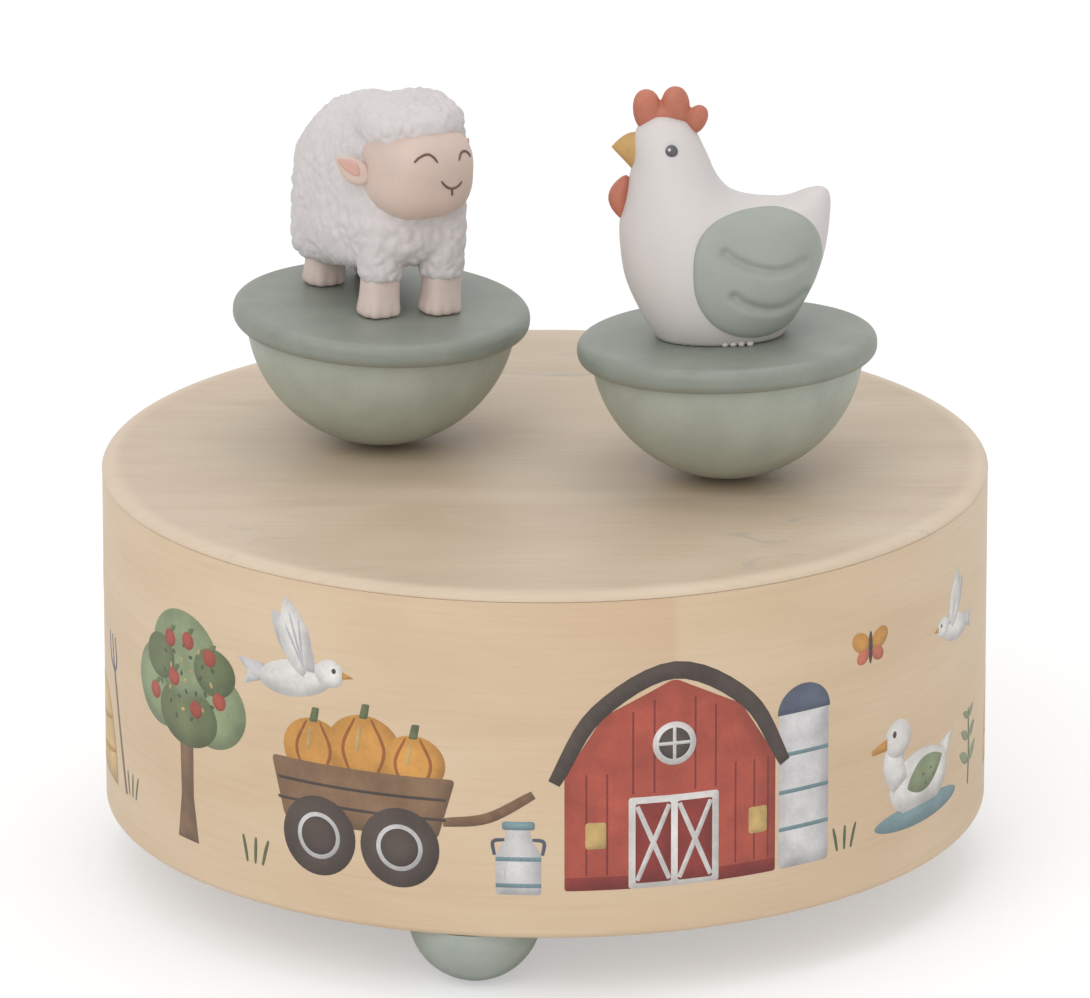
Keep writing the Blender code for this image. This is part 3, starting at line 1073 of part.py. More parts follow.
def wing_prism(grow, side):
    """Rounded wing outline, drawn out sideways through half of the body."""
    points = []
    for angle in [2 * pi * i / 24 for i in range(24)]:
        c, s = cos(angle), sin(angle)
        roundness = WING_TOP_ROUNDNESS if s > 0 else WING_BOTTOM_ROUNDNESS
        reach = (abs(c) ** roundness + abs(s) ** roundness) ** (-1 / roundness)
        points.append((WING_CENTRE_X + (WING_LENGTH / 2 * reach + grow) * c,
                       WING_CENTRE_Z + (WING_HEIGHT / 2 * reach + grow) * s))
    bm = slab(points, GAP + WING_BED, HEN_WIDTH)
    stand = Matrix(((1, 0, 0, 0), (0, 0, side, 0), (0, 1, 0, STAND), (0, 0, 0, 1)))
    bmesh.ops.transform(bm, matrix=stand, verts=bm.verts)
    return bm


def make_hen(paint, barrel_parent):
    """Hen on its rocker; comb, beak, wattle and wings sit in pockets of the body."""
    place = (HEN_ORBIT_RADIUS * cos(HEN_ORBIT_ANGLE), HEN_ORBIT_RADIUS * sin(HEN_ORBIT_ANGLE),
             ROCKER_CENTRE_Z)
    axis = joint_empty("hen_axis", place, lean(HEN_LEAN_RIGHT, HEN_LEAN_FRONT, HEN_HEADING), barrel_parent)
    make_rocker("hen", axis, paint)
    body = piece("hen_body", hen_surface(), paint["hen_white"], parent=axis)

    skin = piece("hen_skin", hen_surface(HEN_SKIN), None, parent=axis, cutter=True)
    bed = piece("wing_bed", hen_surface(-WING_BED), None, parent=axis, cutter=True)
    floor = piece("wing_floor", hen_surface(-WING_BED - GAP), None, parent=axis, cutter=True)
    for number, side in enumerate((1, -1), 1):
        wing = piece(f"hen_wing_{number}", wing_prism(0, side), paint["wing"], parent=axis)
        combine(wing, skin, "INTERSECT")
        combine(wing, bed, "DIFFERENCE")
        pocket = piece(f"wing_pocket_{number}", wing_prism(GAP, side), None, parent=axis, cutter=True)
        combine(pocket, floor, "DIFFERENCE")
        combine(body, pocket, "DIFFERENCE")

    for grow, name, colour in ((0, "hen_comb", "red"), (GAP, "comb_pocket", None)):
        comb = piece(name, hen_comb(grow), paint.get(colour), parent=axis, cutter=colour is None)
    combine(body, comb, "DIFFERENCE")

    for grow, name, colour in ((0, "hen_beak", "beak"), (GAP, "beak_pocket", None)):
        length = BEAK_LENGTH + grow
        bend = (BEAK_RADIUS * BEAK_BEND_RADIUS_SHARE + grow, length * BEAK_BEND_LENGTH_SHARE)
        cone = lathe([(0, -grow), (BEAK_RADIUS + grow, -grow), bend, (0, length)], 14)
        turn = (Matrix.Translation((BEAK_ROOT_X, 0, STAND + BEAK_ROOT_Z))
                @ Matrix.Rotation(pi / 2 - BEAK_RISE, 4, "Y"))
        bmesh.ops.transform(cone, matrix=turn, verts=cone.verts)
        beak = piece(name, cone, paint.get(colour), parent=axis, cutter=colour is None)
    combine(body, beak, "DIFFERENCE")

    radii = (WATTLE_DEPTH_RADIUS, WATTLE_WIDTH_RADIUS, WATTLE_HEIGHT_RADIUS)
    centre = (WATTLE_CENTRE_X, 0, STAND + WATTLE_CENTRE_Z)
    piece("hen_wattle", ellipsoid(radii, centre, 14, 8), paint["red"], parent=axis)
    pocket = ellipsoid([r + GAP for r in radii], centre, 14, 8)
    combine(body, piece("wattle_pocket", pocket, None, parent=axis, cutter=True), "DIFFERENCE")


def hen_comb(grow):
    """Upright comb of round lobes, its root inside the head."""
    lobes = list(zip(COMB_LOBE_TURNS, COMB_LOBE_REACHES))
    points = []
    steps = 48
    for i in range(steps):
        angle = 2 * pi * i / steps
        reach = COMB_ROOT_RADIUS
        for turn, far in lobes:
            across = far * sin(angle - turn)
            if cos(angle - turn) > 0 and abs(across) < COMB_LOBE_RADIUS:
                reach = max(reach, far * cos(angle - turn) + sqrt(COMB_LOBE_RADIUS ** 2 - across ** 2))
        points.append((COMB_ROOT_X + (reach + grow) * cos(angle), COMB_ROOT_Z + (reach + grow) * sin(angle)))
    half = COMB_THICK / 2 + grow
    bm = slab(points, -half, half)
    stand = Matrix(((1, 0, 0, 0), (0, 0, -1, 0), (0, 1, 0, STAND), (0, 0, 0, 1)))
    bmesh.ops.transform(bm, matrix=stand, verts=bm.verts)
    return bm


def make_materials():
    """Every surface of the music box, by name."""
    return {
        "side_wood": material("side_wood", (0.66, 0.52, 0.36), 0.55),
        "top_wood": material("top_wood", (0.58, 0.46, 0.34), 0.55),
        "base_wood": material("base_wood", (0.62, 0.50, 0.36), 0.6),
        "foot_paint": material("foot_paint", (0.29, 0.34, 0.29), 0.5),
        "rocker_paint": material("rocker_paint", (0.30, 0.32, 0.25), 0.5),
        "cap_paint": material("cap_paint", (0.26, 0.32, 0.26), 0.5),
        "fleece": material("fleece", (0.67, 0.64, 0.61), 0.7),
        "face": material("face", (0.51, 0.40, 0.33), 0.6),
        "leg": material("leg", (0.56, 0.45, 0.40), 0.6),
        "hen_white": material("hen_white", (0.70, 0.66, 0.63), 0.6),
        "wing": material("wing", (0.36, 0.40, 0.34), 0.6),
        "red": material("red", (0.48, 0.14, 0.08), 0.55),
        "beak": material("beak", (0.58, 0.33, 0.09), 0.55),
        "brass": material("brass", (0.65, 0.48, 0.20), 0.35, 1.0),
        "steel": material("steel", (0.55, 0.55, 0.54), 0.35, 1.0),
        "nickel": material("nickel", (0.62, 0.61, 0.59), 0.3, 1.0),
        "zinc": material("zinc", (0.50, 0.50, 0.49), 0.5, 1.0),
        "white_plastic": material("white_plastic", (0.78, 0.78, 0.75), 0.45),
    }


def main():
    """Build the whole music box."""
    clear_scene()
    paint = make_materials()
    make_drum(paint)
    make_frame(paint)
    make_key(paint)
    make_barrel(paint)
    make_cylinder(paint)
    make_governor(paint)
    barrel_axis = bpy.data.objects["barrel_axis"]
    make_sheep(paint, barrel_axis)
    make_hen(paint, barrel_axis)


main()
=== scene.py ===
"""Looks of the wooden music box: finishes, the printed farm picture and the two animals.

Units are metres in the part's own frame: +Z up, the drum's axis on Z, the front at -Y.
"""

import json
from math import acos, atan2, cos, exp, pi, radians, sin, sqrt

import bmesh
import bpy
import numpy
from mathutils import Matrix, Vector, noise
from mathutils.bvhtree import BVHTree
from mathutils.geometry import delaunay_2d_cdt


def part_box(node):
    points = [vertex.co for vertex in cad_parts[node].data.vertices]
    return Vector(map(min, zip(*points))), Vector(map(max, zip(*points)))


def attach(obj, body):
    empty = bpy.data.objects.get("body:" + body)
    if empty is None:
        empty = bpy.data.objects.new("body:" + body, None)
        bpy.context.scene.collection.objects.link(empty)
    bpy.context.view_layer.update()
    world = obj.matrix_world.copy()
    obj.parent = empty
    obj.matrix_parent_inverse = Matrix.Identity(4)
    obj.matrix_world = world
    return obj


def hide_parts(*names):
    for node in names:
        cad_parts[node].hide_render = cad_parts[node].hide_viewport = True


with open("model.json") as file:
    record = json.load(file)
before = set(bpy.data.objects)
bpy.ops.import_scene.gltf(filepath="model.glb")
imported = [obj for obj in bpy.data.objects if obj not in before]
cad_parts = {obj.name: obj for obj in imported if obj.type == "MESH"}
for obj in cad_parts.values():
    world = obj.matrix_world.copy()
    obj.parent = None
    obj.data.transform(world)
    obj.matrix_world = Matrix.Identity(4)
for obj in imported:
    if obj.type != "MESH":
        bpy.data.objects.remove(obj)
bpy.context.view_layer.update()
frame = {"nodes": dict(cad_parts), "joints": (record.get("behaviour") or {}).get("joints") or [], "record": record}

MM = 0.001

# Drum, read from the frame
DRUM_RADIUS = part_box("drum_wall")[1].x
DRUM_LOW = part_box("drum_wall")[0].z
DRUM_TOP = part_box("top_plate")[1].z
LID_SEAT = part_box("drum_wall")[1].z
LID_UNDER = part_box("top_plate")[0].z
GAP = 0.3 * MM

# The side's veneer meets in a joint right of the front, with warmer wood on its left
VENEER_JOINT = 17 * MM

# Painted highlight: the lid's rounded rim is lightened towards pale cream, standing in for the sheen it catches
RIM_START = DRUM_RADIUS - 2.9 * MM
RIM_FADE = 1.6 * MM
RIM_HIGHLIGHT_COLOUR = (232, 214, 190)

# Picture: one thin film of inks inside the drum's outer radius, in millimetres on the flat;
# each shape darkens towards its edge, less so at the upper left
INK_FLOOR = 0.12 * MM
INK_LIFT = 0.02 * MM
INK_THICKNESS = 0.03 * MM
INK_GRID = 0.9
INK_EDGE_DARK = 0.27
INK_EDGE_LIT = 0.17
INK_EDGE_SHARE = 0.2
INK_EDGE_WIDEST = 1.5
INK_LIGHT = (-0.5, 0.86)

# Rockers
ROCKER_RADIUS = 17.4 * MM
BOWL_TOP = -2.2 * MM
CAP_RADIUS = 19.3 * MM
CAP_THICKNESS = 3.3 * MM
CAP_EDGE = 1.4 * MM
CAP_TOP = BOWL_TOP + CAP_THICKNESS
ROCKER_CENTRE_Z = DRUM_TOP + GAP + ROCKER_RADIUS

# Places and leans of the two animals
SPOTS = {
    "sheep": {"heading": -58, "right": 2.5, "front": 0.6},
    "hen": {"heading": 180, "right": -1.9, "front": -2.4},
}

# Camera, fitted to the photograph's outline of the drum; the image is 1090 x 998 pixels
IMAGE_WIDTH = 1090
IMAGE_HEIGHT = 998
FOCAL_PIXELS = 10857.6
SENSOR_WIDTH = 36.0
CAMERA_BACK = 1.34138
CAMERA_UP = 0.47160
CAMERA_TILT = 0.31139
CAMERA_ROLL = 0.00102

# Where features of the faces lie, in pixels of the photograph
EYE_PIXELS = {
    "left": ((414, 163), (419, 158), (427, 154.5), (433, 157), (438, 163)),
    "right": ((459, 161), (460.5, 154), (464, 151), (468, 153), (470.5, 157)),
}
SMILE_PIXELS = ((441, 181), (446, 186.5), (452, 188.5), (458, 186), (462, 181))
CHIN_LINE_PIXELS = ((452, 188.5), (452, 196))
HEN_EYE_PIXEL = (671.6, 151.5)

# The floor is lifted to plain white for the camera only
FLOOR_GLOW = 0.42
FLOOR_SEEN, FLOOR_LIT = 0.62, 0.93


def srgb(red, green, blue):
    """Linear colour of an 8-bit screen colour."""
    return tuple(((c / 255 + 0.055) / 1.055) ** 2.4 if c > 10 else c / 3294.6 for c in (red, green, blue))


# Materials

class Shader:
    """Small helper round one material's nodes."""

    def __init__(self, name):
        self.material = bpy.data.materials.new(name)
        self.material.use_nodes = True
        self.tree = self.material.node_tree
        self.bsdf = self.tree.nodes["Principled BSDF"]

    def node(self, kind, **inputs):
        """Add a node and set or link its inputs by name."""
        made = self.tree.nodes.new(kind)
        for key, value in inputs.items():
            self.feed(made.inputs[key.replace("_", " ")], value)
        return made

    def feed(self, socket, value):
        """Link an output, or set a plain value."""
        if isinstance(value, bpy.types.NodeSocket):
            self.tree.links.new(value, socket)
        else:
            socket.default_value = value

    def coords(self, stretch=(1, 1, 1), turn=(0, 0, 0), source="Object"):
        """Scaled texture coordinates of the object itself."""
        space = self.tree.nodes.new("ShaderNodeTexCoord")
        mapping = self.node("ShaderNodeMapping", Vector=space.outputs[source], Scale=stretch, Rotation=turn)
        return mapping.outputs["Vector"]

    def noise(self, vector, scale, detail=4.0, rough=0.55, distortion=0.0):
        """Soft grey noise."""
        made = self.node("ShaderNodeTexNoise", Vector=vector, Scale=scale, Detail=detail,
                         Roughness=rough, Distortion=distortion)
        return made.outputs["Fac"]

    def ramp(self, factor, stops):
        """Colours along a factor."""
        made = self.node("ShaderNodeValToRGB", Fac=factor)
        ramp = made.color_ramp
        ramp.elements[0].position, ramp.elements[0].color = stops[0][0], (*stops[0][1], 1)
        ramp.elements[1].position, ramp.elements[1].color = stops[-1][0], (*stops[-1][1], 1)
        for place, colour in stops[1:-1]:
            ramp.elements.new(place).color = (*colour, 1)
        return made.outputs["Color"]

    def mix(self, factor, first, second, blend="MIX"):
        """Blend two colours."""
        made = self.tree.nodes.new("ShaderNodeMix")
        made.data_type = "RGBA"
        made.blend_type = blend
        self.feed(made.inputs["Factor"], factor)
        for socket, value in ((made.inputs[6], first), (made.inputs[7], second)):
            self.feed(socket, value if isinstance(value, bpy.types.NodeSocket) else (*value, 1))
        return made.outputs[2]

    def math(self, operation, first, second=0.0):
        """One arithmetic step."""
        made = self.tree.nodes.new("ShaderNodeMath")
        made.operation = operation
        self.feed(made.inputs[0], first)
        self.feed(made.inputs[1], second)
        return made.outputs[0]

    def bump(self, height, strength, distance):
        """Surface relief from a height."""
        made = self.node("ShaderNodeBump", Height=height, Strength=strength, Distance=distance)
        self.feed(self.bsdf.inputs["Normal"], made.outputs["Normal"])


def painted(name, colour, roughness=0.5, speck=0.06, grain=0.02 * MM, tooth=0.05):
    """Hand-painted matt surface with faint brush mottling and a fine tooth."""
    s = Shader(name)
    place = s.coords()
    wide = s.noise(place, 160, 3)
    fine = s.noise(place, 1800, 5)
    dark = tuple(c * (1 - speck * 1.6) for c in colour)
    light = tuple(min(1, c * (1 + speck)) for c in colour)
    tone = s.ramp(wide, [(0.3, dark), (0.7, light)])
    spots = s.ramp(fine, [(0.35, (1 - tooth,) * 3), (0.65, (1, 1, 1))])
    s.feed(s.bsdf.inputs["Base Color"], s.mix(1.0, tone, spots, "MULTIPLY"))
    s.bsdf.inputs["Roughness"].default_value = roughness
    s.bump(fine, 0.5, grain)
    return s.material


def metal(name, colour, roughness=0.3, stretch=(1, 1, 1)):
    """Metal with fine turning or brushing marks."""
    s = Shader(name)
    place = s.coords(stretch)
    marks = s.noise(place, 900, 6)
    s.feed(s.bsdf.inputs["Base Color"],
           s.ramp(marks, [(0.3, tuple(c * 0.86 for c in colour)), (0.7, colour)]))
    s.feed(s.bsdf.inputs["Roughness"], s.math("MULTIPLY_ADD", marks, 0.25))
    s.bsdf.inputs["Metallic"].default_value = 1.0
    s.bsdf.inputs["Roughness"].default_value = roughness
    s.bump(marks, 0.3, 0.02 * MM)
    return s.material


def side_wood():
    """Light veneer whose grain runs round the drum, with a change of tone at its joint."""
    s = Shader("veneer_round_drum")
    flow = s.coords((10, 320, 1), source="UV")
    broad = s.coords((14, 46, 1), source="UV")
    cloud = s.noise(broad, 1.4, 3, 0.5, 0.6)
    fibre = s.noise(flow, 4.0, 7, 0.6, 0.15)
    hair = s.noise(s.coords((60, 2600, 1), source="UV"), 3.0, 4)
    base = s.ramp(cloud, [(0.25, srgb(206, 180, 149)), (0.5, srgb(214, 190, 160)),
                          (0.75, srgb(219, 198, 171))])
    grain = s.ramp(fibre, [(0.3, (0.965, 0.95, 0.93)), (0.5, (1.0, 0.995, 0.99)),
                           (0.7, (1.015, 1.015, 1.015))])
    tone = s.mix(1.0, base, grain, "MULTIPLY")
    lines = s.ramp(hair, [(0.32, (0.95, 0.935, 0.91)), (0.5, (1, 1, 1))])
    tone = s.mix(0.8, tone, lines, "MULTIPLY")
    split = s.node("ShaderNodeSeparateXYZ", Vector=s.coords(source="UV"))
    wander = s.math("MULTIPLY", s.noise(s.coords((0, 120, 1), source="UV"), 1.0, 2), 0.8 * MM)
    along = s.math("MULTIPLY", s.math("ADD", s.math("SUBTRACT", split.outputs["X"], VENEER_JOINT),
                                      wander), 10.0)
    height = s.math("MULTIPLY", s.math("SUBTRACT", split.outputs["Y"], DRUM_LOW), 1 / (LID_SEAT - DRUM_LOW))
    strip = s.ramp(s.math("ADD", along, 0.5), [(0.1, (0, 0, 0)), (0.495, (1, 1, 1)), (0.505, (0, 0, 0))])
    strip = s.math("MULTIPLY", strip, s.ramp(height, [(0.2, (0.1, 0.1, 0.1)), (0.9, (1, 1, 1))]))
    tone = s.mix(strip, tone, s.mix(1.0, tone, (0.945, 0.90, 0.86), "MULTIPLY"))
    s.feed(s.bsdf.inputs["Base Color"], tone)
    s.bsdf.inputs["Roughness"].default_value = 0.46
    s.bsdf.inputs["Specular IOR Level"].default_value = 0.35
    s.bump(s.math("ADD", fibre, hair), 0.35, 0.03 * MM)
    return s.material


def lid_wood():
    """Veneer with straight grain from left to right, a few grey water marks and a painted highlight on its rounded
    rim.
    """
    s = Shader("veneer_lid")
    turn = (0, 0, radians(-7))
    cloud = s.noise(s.coords((22, 60, 30), turn), 1.2, 3, 0.5, 0.8)
    fibre = s.noise(s.coords((9, 330, 60), turn), 4.0, 7, 0.6, 0.2)
    hair = s.noise(s.coords((60, 2600, 60), turn), 3.0, 4)
    base = s.ramp(cloud, [(0.25, srgb(193, 173, 150)), (0.5, srgb(202, 183, 160)),
                          (0.75, srgb(209, 192, 171))])
    grain = s.ramp(fibre, [(0.3, (0.945, 0.93, 0.91)), (0.5, (1.0, 0.995, 0.99)), (0.7, (1.02, 1.02, 1.02))])
    tone = s.mix(1.0, base, grain, "MULTIPLY")
    lines = s.ramp(hair, [(0.32, (0.93, 0.91, 0.88)), (0.5, (1, 1, 1))])
    tone = s.mix(0.8, tone, lines, "MULTIPLY")
    blot = s.noise(s.coords((70, 110, 40), turn), 1.0, 5, 0.7, 1.2)
    where = s.noise(s.coords((18, 26, 10)), 1.0, 1)
    marks = s.math("MULTIPLY", s.ramp(blot, [(0.60, (0, 0, 0)), (0.68, (0.55, 0.55, 0.55))]),
                   s.ramp(where, [(0.48, (0, 0, 0)), (0.60, (1, 1, 1))]))
    tone = s.mix(marks, tone, srgb(166, 160, 152))
    split = s.node("ShaderNodeSeparateXYZ", Vector=s.coords())
    reach = s.math("SQRT", s.math("ADD", s.math("POWER", split.outputs["X"], 2.0),
                                  s.math("POWER", split.outputs["Y"], 2.0)))
    # Painted highlight: pale cream laid over the outer rim of the lid
    rim_highlight = s.ramp(s.math("MULTIPLY", s.math("SUBTRACT", reach, RIM_START), 1 / RIM_FADE),
                  [(0.0, (0, 0, 0)), (1.0, (1, 1, 1))])
    tone = s.mix(s.math("MULTIPLY", rim_highlight, 0.32), tone, srgb(*RIM_HIGHLIGHT_COLOUR))
    s.feed(s.bsdf.inputs["Base Color"], tone)
    s.bsdf.inputs["Roughness"].default_value = 0.42
    s.bsdf.inputs["Specular IOR Level"].default_value = 0.35
    s.bump(s.math("ADD", fibre, hair), 0.35, 0.03 * MM)
    return s.material


def plain_wood():
    """Bare board of the base."""
    s = Shader("base_board")
    fibre = s.noise(s.coords((14, 360, 60), (0, 0, radians(12))), 4.0, 7, 0.6, 0.3)
    cloud = s.noise(s.coords((20, 60, 30)), 1.3, 3)
    base = s.ramp(cloud, [(0.3, srgb(196, 170, 136)), (0.7, srgb(214, 190, 158))])
    grain = s.ramp(fibre, [(0.3, (0.86, 0.82, 0.77)), (0.6, (1, 1, 1))])
    s.feed(s.bsdf.inputs["Base Color"], s.mix(1.0, base, grain, "MULTIPLY"))
    s.bsdf.inputs["Roughness"].default_value = 0.6
    s.bump(fibre, 0.4, 0.05 * MM)
    return s.material


def ink(name, colour):
    """Printed colour with a soft pencil-like mottle."""
    s = Shader(name)
    place = s.coords()
    wide = s.noise(place, 210, 3, 0.6)
    fine = s.noise(place, 2400, 3, 0.7)
    tone = s.ramp(wide, [(0.3, tuple(c * 0.80 for c in colour)),
                         (0.7, tuple(min(1, c * 1.14) for c in colour))])
    tooth = s.ramp(fine, [(0.3, (0.90, 0.90, 0.90)), (0.6, (1, 1, 1))])
    shading = s.tree.nodes.new("ShaderNodeAttribute")
    shading.attribute_name = "tone"
    tone = s.mix(1.0, tone, shading.outputs["Color"], "MULTIPLY")
    s.feed(s.bsdf.inputs["Base Color"], s.mix(1.0, tone, tooth, "MULTIPLY"))
    s.bsdf.inputs["Roughness"].default_value = 0.45
    s.bump(fine, 0.2, 0.01 * MM)
    return s.material


MATERIALS = {
    "side_wood": side_wood(),
    "top_wood": lid_wood(),
    "base_wood": plain_wood(),
    "foot_paint": painted("sage_foot", srgb(163, 171, 162), 0.42),
    "rocker_paint": painted("sage_bowl", srgb(169, 176, 164), 0.45),
    "cap_paint": painted("sage_cap", srgb(138, 144, 134), 0.45),
    "fleece": painted("wool_white", srgb(213, 207, 206), 0.62, 0.03, 0.05 * MM),
    "face": painted("face_taupe", srgb(211, 189, 177), 0.55, 0.04, tooth=0.03),
    "leg": painted("leg_pink", srgb(220, 201, 192), 0.55, 0.05, tooth=0.03),
    "ear_pink": painted("ear_pink", srgb(212, 168, 156), 0.55, 0.05),
    "hen_white": painted("hen_white", srgb(211, 205, 202), 0.5, 0.012, tooth=0.015),
    "wing": painted("wing_sage", srgb(157, 163, 155), 0.5, 0.04, tooth=0.02),
    "red": painted("comb_rust", srgb(190, 114, 90), 0.5, 0.10),
    "beak": painted("beak_ochre", srgb(202, 160, 98), 0.5, 0.10),
    "eye": painted("eye_grey", srgb(88, 88, 92), 0.25, 0.05),
    "line": painted("line_brown", srgb(110, 84, 74), 0.6, 0.05),
    "brass": metal("brass", (0.72, 0.52, 0.24), 0.3),
    "steel": metal("steel", (0.58, 0.58, 0.57), 0.3),
    "nickel": metal("nickel", (0.64, 0.63, 0.60), 0.22),
    "zinc": metal("zinc", (0.52, 0.52, 0.51), 0.45),
    "white_plastic": painted("white_plastic", srgb(228, 228, 222), 0.4, 0.02),
}


# Mesh helpers

def place_piece(name, bm, look, body, replaces=(), matrix=None, smooth=True, crease=35):
    """Make an object that rides on a body and stands for its CAD nodes."""
    bmesh.ops.recalc_face_normals(bm, faces=bm.faces)
    mesh = bpy.data.meshes.new(name)
    bm.to_mesh(mesh)
    bm.free()
    thing = bpy.data.objects.new(name, mesh)
    bpy.context.scene.collection.objects.link(thing)
    if matrix is not None:
        thing.matrix_world = matrix
    mesh.materials.append(MATERIALS[look])
    if smooth:
        mesh.shade_smooth()
        mesh.set_sharp_from_angle(angle=radians(crease))
    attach(thing, body)
    if replaces:
        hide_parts(*replaces)
    return thing


def arc(centre, radii, start, end, steps):
    """Points along part of an ellipse, both ends included."""
    turns = [start + (end - start) * i / steps for i in range(steps + 1)]
    return [(centre[0] + radii[0] * cos(a), centre[1] + radii[1] * sin(a)) for a in turns]


def skin(rings, closed=False):
    """Bmesh through a row of rings; a ring of one point is a pole."""
    bm = bmesh.new()
    rows = [[bm.verts.new(p) for p in ring] for ring in rings]
    pairs = list(zip(rows, rows[1:]))
    if closed:
        pairs.append((rows[-1], rows[0]))
    for low, high in pairs:
        count = max(len(low), len(high))
        for i in range(count):
            j = (i + 1) % count
            corners = [low[i % len(low)], low[j % len(low)], high[j % len(high)], high[i % len(high)]]
            bm.faces.new(list(dict.fromkeys(corners)))
    if not closed:
        for row in (rows[0], rows[-1]):
            if len(row) > 2:
                bm.faces.new(row)
    return bm


def turned(profile, sides=128, closed=False, centre=(0, 0)):
    """Body of revolution from (radius, height) points."""
    rings = []
    for radius, z in profile:
        if radius == 0:
            rings.append([(*centre, z)])
        else:
            rings.append([(centre[0] + radius * cos(2 * pi * i / sides),
                           centre[1] + radius * sin(2 * pi * i / sides), z) for i in range(sides)])
    return skin(rings, closed)


def blob(radii, centre, power=2.0, sides=64, rows=32, turn=None):
    """Super-ellipsoid: power 2 is an egg, more is boxier."""
    k = 2 / power
    rings = []
    for row in range(rows + 1):
        tilt = pi * (row / rows - 0.5)
        level = abs(sin(tilt)) ** k * (1 if tilt > 0 else -1)
        swell = abs(cos(tilt)) ** k if 0 < row < rows else 0
        ring = []
        for i in range(sides if swell else 1):
            a = 2 * pi * i / sides
            x = abs(cos(a)) ** k * (1 if cos(a) > 0 else -1) * swell
            y = abs(sin(a)) ** k * (1 if sin(a) > 0 else -1) * swell
            point = Vector((x * radii[0], y * radii[1], level * radii[2]))
            if turn is not None:
                point = turn @ point
            ring.append(point + Vector(centre))
        rings.append(ring)
    return skin(rings)


def merge(parts):
    """Put several bmeshes into one."""
    whole = bmesh.new()
    for part in parts:
        mesh = bpy.data.meshes.new("part")
        part.to_mesh(mesh)
        part.free()
        whole.from_mesh(mesh)
        bpy.data.meshes.remove(mesh)
    return whole


def melt(parts, voxel, smoothing):
    """Fuse overlapping closed forms into one smooth body."""
    bm = merge(parts)
    bmesh.ops.recalc_face_normals(bm, faces=bm.faces)
    mesh = bpy.data.meshes.new("melt")
    bm.to_mesh(mesh)
    bm.free()
    thing = bpy.data.objects.new("melt", mesh)
    bpy.context.scene.collection.objects.link(thing)
    remesh = thing.modifiers.new("Remesh", "REMESH")
    remesh.mode = "VOXEL"
    remesh.voxel_size = voxel
    smooth = thing.modifiers.new("Smooth", "SMOOTH")
    smooth.iterations = smoothing
    smooth.factor = 0.5
    done = bpy.data.meshes.new_from_object(thing.evaluated_get(bpy.context.evaluated_depsgraph_get()))
    bpy.data.objects.remove(thing)
    bpy.data.meshes.remove(mesh)
    made = bmesh.new()
    made.from_mesh(done)
    bpy.data.meshes.remove(done)
    return made


def spot_matrix(animal):
    """World matrix of an animal's own frame, its origin at the rocker ball's centre."""
    joint = next(j for j in frame["joints"] if j["name"] == f"{animal}_spin")
    spot = SPOTS[animal]
    turn = (Matrix.Rotation(radians(spot["right"]), 4, "Y") @ Matrix.Rotation(radians(spot["front"]), 4, "X")
            @ Matrix.Rotation(radians(spot["heading"]), 4, "Z"))
    return Matrix.Translation((joint["pos_m"][0], joint["pos_m"][1], ROCKER_CENTRE_Z)) @ turn


def camera_matrix():
    """The photograph's viewpoint."""
    back = Vector((0, -cos(CAMERA_TILT), sin(CAMERA_TILT)))
    right = Vector((1, 0, 0))
    up = back.cross(right)
    turn = Matrix((right, up, back)).transposed() @ Matrix.Rotation(-CAMERA_ROLL, 3, "Z")
    return Matrix.Translation((0, -CAMERA_BACK, CAMERA_UP + DRUM_LOW)) @ turn.to_4x4()


def pixel_ray(pixel):
    """Start and direction of the line of sight through a pixel of the photograph."""
    view = camera_matrix()
    aim = Vector((pixel[0] - IMAGE_WIDTH / 2, IMAGE_HEIGHT / 2 - pixel[1], -FOCAL_PIXELS))
    return view.translation, (view.to_3x3() @ aim).normalized()


def tube(points, radius, sides=10):
    """Round bead along a row of points, its ends rounded off."""
    points = [Vector(p) for p in points]
    rings = [[points[0]]]
    for i, point in enumerate(points):
        ahead = points[min(i + 1, len(points) - 1)] - points[max(i - 1, 0)]
        side = ahead.cross(Vector((0, 0, 1)))
        side = (side if side.length > 1e-9 else Vector((1, 0, 0))).normalized()
        up = side.cross(ahead).normalized()
        share = i / (len(points) - 1)
        size = radius * min(1.0, sqrt(max(0.05, 1 - (2 * share - 1) ** 8)))
        rings.append([point + side * size * cos(2 * pi * k / sides) + up * size * sin(2 * pi * k / sides)
                      for k in range(sides)])
    rings.append([points[-1]])
    return skin(rings)


def smooth_path(points, per_span=8):
    """Catmull-Rom curve through points."""
    points = [Vector(p) for p in points]
    whole = [points[0] * 2 - points[1], *points, points[-1] * 2 - points[-2]]
    path = []
    for i in range(len(points) - 1):
        p0, p1, p2, p3 = whole[i:i + 4]
        for step in range(per_span):
            t = step / per_span
            path.append(0.5 * (2 * p1 + (p2 - p0) * t + (2 * p0 - 5 * p1 + 4 * p2 - p3) * t ** 2
                               + (3 * p1 - p0 - 3 * p2 + p3) * t ** 3))
    return path + [points[-1]]


# Drum

def add_round_uv(thing):
    """UV in metres: round the drum from the front, and up."""
    layer = thing.data.uv_layers.new(name="round")
    for polygon in thing.data.polygons:
        middle = atan2(polygon.center.x, -polygon.center.y)
        for index in polygon.loop_indices:
            point = thing.data.vertices[thing.data.loops[index].vertex_index].co
            angle = atan2(point.x, -point.y)
            if angle - middle > pi:
                angle -= 2 * pi
            elif middle - angle > pi:
                angle += 2 * pi
            layer.data[index].uv = (angle * DRUM_RADIUS, point.z)


